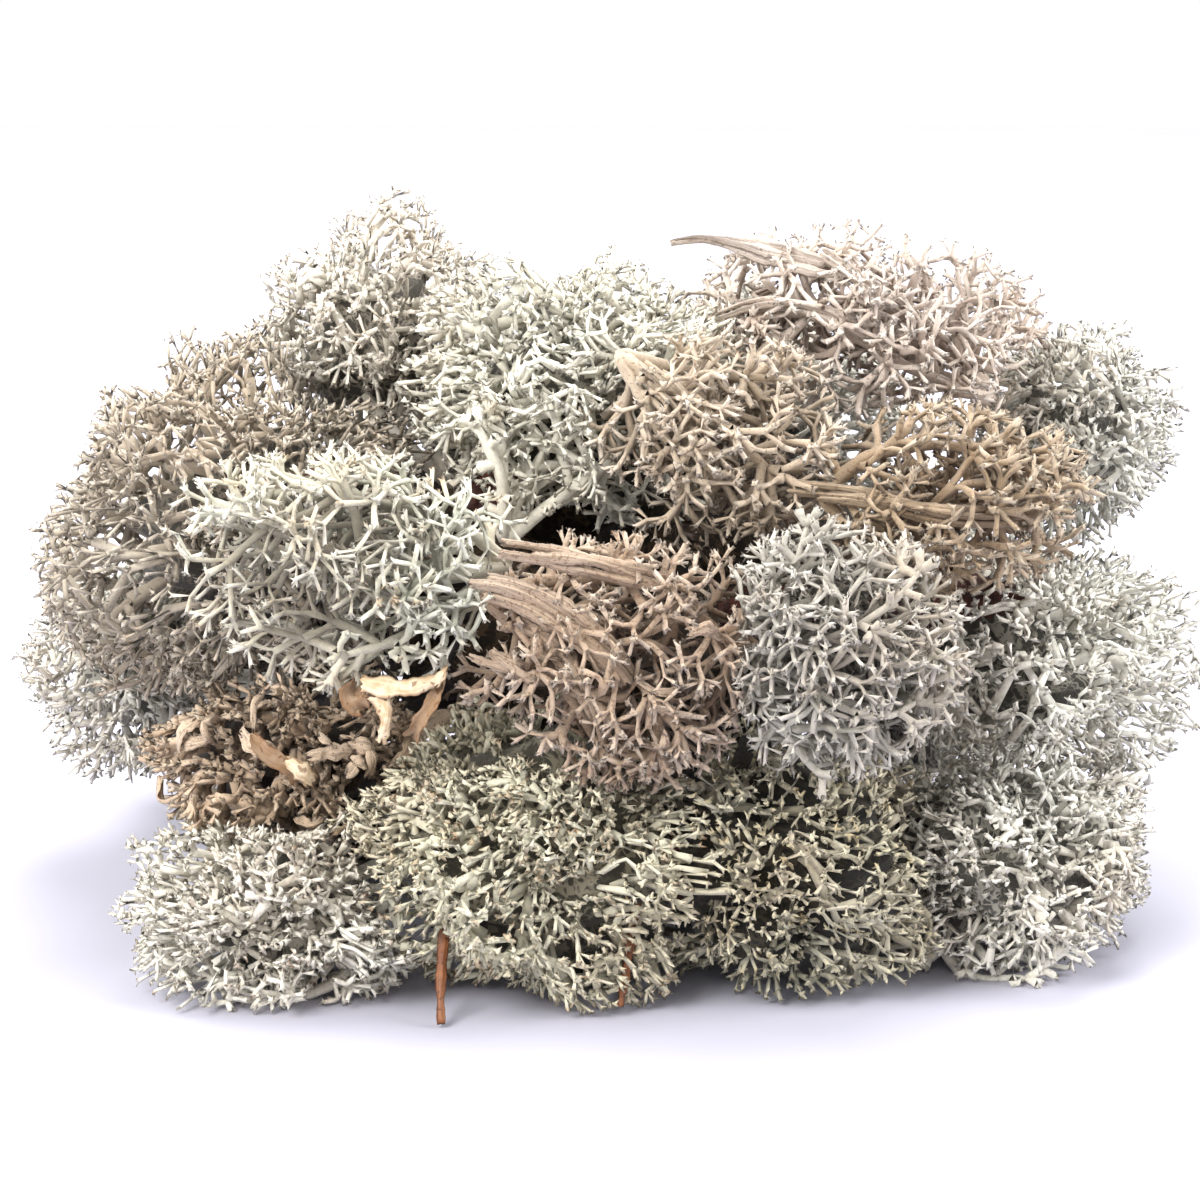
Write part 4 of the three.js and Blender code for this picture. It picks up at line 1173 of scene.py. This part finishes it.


# Each look: the shades of inner stems (deep in a head partly painted shade, and the painted shade of
# crotches and, darkened, of a core), of the body, of its patches, of tips, of worn tips and of specks, and
# how many specks there are.
LOOKS = {
    "front": ("958d76", "e0dcc6", "ccc8b0", "f3e7c8", "ab8860", "6d5138", 0.04),
    "low_left": ("c2baa8", "f4f0e4", "e4e0d2", "f8f2e2", "a38160", "6b4d36", 0.04),
    "grey": ("6d6253", "c0b8aa", "a89f8f", "ddd3c1", "ae9c84", "5f4836", 0.06),
    "beige": ("857a69", "bbb1a1", "a69b8a", "e2d7c6", "bea78d", "6b4f3a", 0.07),
    "pale_beige": ("c2b9a8", "efebe0", "e0d9cc", "f2e9da", "c4ac90", "6b4f3a", 0.05),
    "blue": ("bbb5a7", "e6e4da", "d3d0c5", "f0ede3", "cabfad", "5d5040", 0.03),
    "pale_blue": ("c9c4b6", "f2f0e7", "e2dfd4", "f4f1e8", "cfc6b4", "5d5040", 0.02),
    "bright": ("473c2c", "d4d4c4", "bebdaa", "f6f2e3", "cdb28e", "80664a", 0.03),
    "pale": ("b5af9e", "eeebdd", "dbd7c7", "efebdc", "c7b79c", "715a44", 0.04),
    "pale_right": ("4c4438", "bcb7ac", "a5a094", "e6e0d5", "c5b6a5", "6d5a4a", 0.05),
    "cream": ("3f3727", "bcb8a3", "a5a18b", "e9e0c2", "c5b080", "5f4c38", 0.05),
    "green": ("c2bcad", "f2efe5", "e0ddd1", "f0ece0", "c6baa6", "5c4c3c", 0.04),
    "tan": ("5f4834", "bda893", "a38b75", "d8c8b6", "b39a82", "5e3f29", 0.16),
    "tan_pale": ("6f5842", "b29e86", "968167", "d2c3ae", "b99f80", "5f432c", 0.14),
    "tan_light": ("7f6e58", "ccbca8", "b3a28c", "e2d6c6", "bfa68c", "5f432c", 0.12),
    "rosy": ("7d6657", "dfd3c7", "c8b8ab", "f0e6db", "c0a791", "593e2e", 0.11),
    "brown": ("5e4a36", "d8c1a8", "bba287", "d0bca3", "ab9277", "422c1d", 0.12),
}
PATCH = 9.0  # the sizes of what the lichen's shades lie in, in mm
WIDE_PATCH = 26.0
WORN_PATCH = 5.0
FELT = 0.5
SPECK = 0.5
FLUFF = 0.35
WARM_PATCH = "c4ad93"
TINTED = 0.45  # how far single branches take the patches' shade
CROTCH_SHADOW = 0.35  # and crotches that of inner stems, as painted shade where forks meet
SPECK_EDGE = 0.72  # the noise above which there are specks, where a look has none
CORE_SHADOW_SHARES = (0.6, 0.12)  # how bright a core's painted net and the painted shade in its gaps are, against its cushion's inner stems
CORE_NET = 1.7  # between the stems of a core's net
CORE_STRAY = 4.0
CORE_STRAY_SIZE = 1.6


def lichen(name, look, has_core, has_strips):
    """Felty lichen: paler to the tips, patchy, speckled and matt. Deeper in a head it is darker, partly
    browner older stems and partly painted shade, and crotches and a core carry painted shade.
    """
    paint = Painter(name)
    *shades, specks = look
    inner, body, patch, tip, worn_tip, speck = map(color, shades)
    patches = paint.patches(PATCH, (0.4, 0.0), (0.62, 1.0))
    shade = paint.mix(patches, body, patch)
    wide = paint.patches(WIDE_PATCH, (0.45, 0.0), (0.65, 0.45), detail=1.0)
    shade = paint.mix(wide, shade, color(WARM_PATCH))
    shade = paint.mix(paint.mark("tint", TINTED), shade, patch)
    worn = paint.patches(WORN_PATCH, (0.5, 0.0), (0.68, 1.0), detail=3.0)
    outward = paint.ramp(paint.mark("tip"), (0.62, 0.0), (0.98, 1.0))
    shade = paint.mix(outward, shade, paint.mix(worn, tip, worn_tip))
    # Deeper in a head the lichen takes its inner stems' colour: partly browner older stems, partly painted
    # shade inside the head.
    inward = paint.ramp(paint.mark("depth"), (0.42, 1.0), (0.8, 0.0))
    shade = paint.mix(inward, shade, inner)
    # Painted shade in the crotches of forks.
    shade = paint.mix(paint.mark("axil", CROTCH_SHADOW), shade, inner)
    felt = paint.patches(FELT, (0.3, 0.82), (0.7, 1.08), detail=3.0)
    shade = paint.mix(1.0, shade, felt, "MULTIPLY")
    edge = SPECK_EDGE - specks
    dots = paint.patches(SPECK, (edge, 0.0), (edge + 0.04, 0.55))
    shade = paint.mix(dots, shade, speck)
    height = paint.noise(FLUFF, 4.0)
    if has_strips:
        fibres = paint.fibres()
        streaked = paint.mix(1.0, shade, paint.ramp(fibres, (0.36, 0.45), (0.58, 1.0)), "MULTIPLY")
        in_strip = paint.math("GREATER_THAN", paint.mark("grain"), 0.5)
        shade = paint.mix(in_strip, shade, streaked)
        height = paint.math("ADD", height, paint.math("MULTIPLY", fibres, in_strip))
    if has_core:
        # A core is painted as shade: dark, with a net of fine stems and darker painted shade in the gaps.
        in_shadow_core = paint.math("LESS_THAN", paint.mark("tip"), CORE_MARK / 2)
        dark, darker = (tuple(x * share for x in inner[:3]) + (1.0,) for share in CORE_SHADOW_SHARES)
        shade = paint.mix(in_shadow_core, shade, paint.mix(paint.gaps(), dark, darker))
    roughness = paint.patches(0.7, (0.3, 0.82), (0.7, 0.98))
    for socket, value in (("Sheen Weight", 0.15), ("Sheen Roughness", 0.6), ("Specular IOR Level", 0.2)):
        paint.shader.inputs[socket].default_value = value
    return paint.finish(shade, roughness, height, 0.14, 0.5)


# Each look: three shades, coarse and fine grain in mm, how much is streaked, and its roughness and bump.
SCRAP_LOOKS = {
    "bark": (("35180f", "52281b", "220e0a"), (1.6, 0.35), 0.7, (0.6, 0.85), 0.3),
    "twig": (("5d4130", "7a5a44", "33211a"), (2.5, 0.25), 0.6, (0.6, 0.8), 0.1),
    "needle": (("6e4026", "8f5a36", "3c2013"), (2.5, 0.25), 0.6, (0.4, 0.62), 0.08),
    "paper": (("cbb08c", "e2cfb1", "6f4a2d"), (1.4, 0.3), 0.28, (0.6, 0.82), 0.12),
}


def scrap_finish(name, look):
    """Dry plant matter: streaked, blotched and darker at its edges, with painted shade on its hollow side.
    """
    paint = Painter(name)
    shades, (coarse, fine), streaks, (low, high), bump_mm = look
    shade, other, dark = map(color, shades)
    shade = paint.mix(paint.patches(coarse, (0.4, 0.0), (0.62, 1.0), detail=3.0), shade, other)
    fibres = paint.fibres()
    from_middle = paint.math("ABSOLUTE", paint.math("SUBTRACT", paint.mark("grain"), 1.5), 0.0)
    for darker in (
        paint.ramp(fibres, (0.38, streaks), (0.54, 0.0)),
        # painted shade on the hollow side
        paint.math("MULTIPLY", paint.math("GREATER_THAN", paint.mark("tip"), HOLLOW_MARK / 2), 0.7),
        paint.ramp(from_middle, (0.36, 0.0), (0.5, 0.6)),
        paint.patches(fine * 3, (0.62, 0.0), (0.66, 0.7)),
    ):
        shade = paint.mix(darker, shade, dark)
    roughness = paint.patches(fine * 2, (0.3, low), (0.7, high))
    paint.shader.inputs["Specular IOR Level"].default_value = 0.35
    height = paint.math("ADD", paint.noise(fine, 4.0), fibres)
    return paint.finish(shade, roughness, height, bump_mm, 0.6)


# ---- meshes ----
def add_object(name, data):
    made = bpy.data.objects.new(name, data)
    bpy.context.scene.collection.objects.link(made)
    return made


def mesh_object(name, places, faces, marks, material):
    mesh = bpy.data.meshes.new(name)
    mesh.vertices.add(len(places))
    mesh.vertices.foreach_set("co", (places * MM).astype(np.float32).ravel())
    mesh.loops.add(faces.size)
    mesh.loops.foreach_set("vertex_index", faces.astype(np.int32).ravel())
    mesh.polygons.add(len(faces))
    mesh.polygons.foreach_set("loop_start", np.arange(0, faces.size, 3, dtype=np.int32))
    mesh.update(calc_edges=True)
    mesh.validate()
    mesh.shade_smooth()
    for key, values in marks.items():
        mesh.attributes.new(key, "FLOAT", "POINT").data.foreach_set("value", values.astype(np.float32))
    mesh.materials.append(material)
    return add_object(name, mesh)


def build_pieces():
    """Makes one object for each cushion and scrap, in the place of its CAD node."""
    grow_all()
    places, faces = skins.all_places(), np.concatenate(skins.faces)
    places[:, 2] = np.maximum(places[:, 2], 0.0)
    marks = {name: np.concatenate(values) for name, values in skins.marks.items()}
    owners = marks.pop("owner")
    depth = depth_in(np.minimum(owners, len(CUSHIONS) - 1), places)
    is_open = np.append(KINDS == "open", [True] * len(SCRAPS))[owners]
    marks["depth"] = np.where(is_open, np.maximum(depth, OPEN_DEPTH), depth)
    face_owners = owners[faces[:, 0]]
    for index, (name, look, *_) in enumerate(CUSHIONS + SCRAPS):
        mine = owners == index
        own_places = places[mine] - BOX_MIDDLE
        if index < len(CUSHIONS):
            has_strips = name in FLAKES or name in [stem[0] for stem in DEAD_STEMS]
            material = lichen(name + "_lichen", LOOKS[look], KINDS[index] != "open", has_strips)
        else:
            material = scrap_finish(name + "_" + look, SCRAP_LOOKS[look])
            seat = np.array(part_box(name)).mean(0) / MM
            own_places = own_places + seat - (own_places.min(0) + own_places.max(0)) / 2
        own_faces = (np.cumsum(mine) - 1)[faces[face_owners == index]]
        own_marks = {key: values[mine] for key, values in marks.items()}
        made = mesh_object(name + "_growth", own_places, own_faces, own_marks, material)
        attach(made, "root")
        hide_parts(name)


build_pieces()


# ---- stage, lights and camera ----
FLOOR_HALF = 0.7


def build_stage():
    mesh = bpy.data.meshes.new("floor")
    corners = [(x * FLOOR_HALF, y * FLOOR_HALF, 0) for x, y in ((-1, -1), (1, -1), (1, 1), (-1, 1))]
    mesh.from_pydata(corners, [], [(0, 1, 2, 3)])
    paint = Painter("floor")
    shade = paint.patches(40.0, (0.3, color("b0afbc")), (0.7, color("b3b2bf")))
    roughness = paint.patches(20.0, (0.3, 0.75), (0.7, 0.85))
    mesh.materials.append(paint.finish(shade, roughness, paint.noise(1.0), 0.02, 0.1))
    floor = add_object("floor", mesh)


# Each light: its place in metres, its size, power and colour.
LIGHTS = {
    "key": ((-0.45, -0.5, 0.6), 0.5, 9.0, (1.0, 0.99, 0.97)),
    "top": ((0.1, 0.25, 0.9), 0.7, 11.0, (1.0, 1.0, 1.0)),
    "left": ((-0.8, 0.35, 0.4), 0.5, 6.0, (0.98, 0.99, 1.0)),
    "right": ((0.8, -0.15, 0.45), 0.5, 8.0, (0.98, 0.99, 1.0)),
}
LIT_PLACE = (0, 0, 0.04)


def build_lights():
    world = bpy.data.worlds.new("studio")
    world.use_nodes = True
    world.node_tree.nodes["Background"].inputs["Color"].default_value = (1.0, 1.0, 1.0, 1.0)
    world.node_tree.nodes["Background"].inputs["Strength"].default_value = 1.0
    bpy.context.scene.world = world
    for name, (place, size, power, shade) in LIGHTS.items():
        light = bpy.data.lights.new(name, "AREA")
        light.shape = "DISK"
        light.size = size
        light.energy = power
        light.color = shade
        made = add_object(name, light)
        made.location = place
        made.rotation_euler = (Vector(LIT_PLACE) - Vector(place)).to_track_quat("-Z", "Y").to_euler()
    bpy.context.scene.view_settings.view_transform = "Standard"


CAMERA_DISTANCE = 500.0
CAMERA_RISE = math.radians(15)
TARGET_HEIGHT = 38.4
FRAME_WIDTH = 154.5
TARGET_SIDE = 0.6
SENSOR = 36.0


def build_camera():
    lens = bpy.data.cameras.new("camera")
    lens.sensor_width = SENSOR
    lens.lens = SENSOR * CAMERA_DISTANCE / FRAME_WIDTH
    made = add_object("camera", lens)
    target = Vector((TARGET_SIDE, 0, TARGET_HEIGHT)) * MM
    back = Vector((0, -math.cos(CAMERA_RISE), math.sin(CAMERA_RISE)))
    made.location = target + back * CAMERA_DISTANCE * MM
    made.rotation_euler = (-back).to_track_quat("-Z", "Y").to_euler()
    bpy.context.scene.camera = made


build_stage()
build_lights()
build_camera()
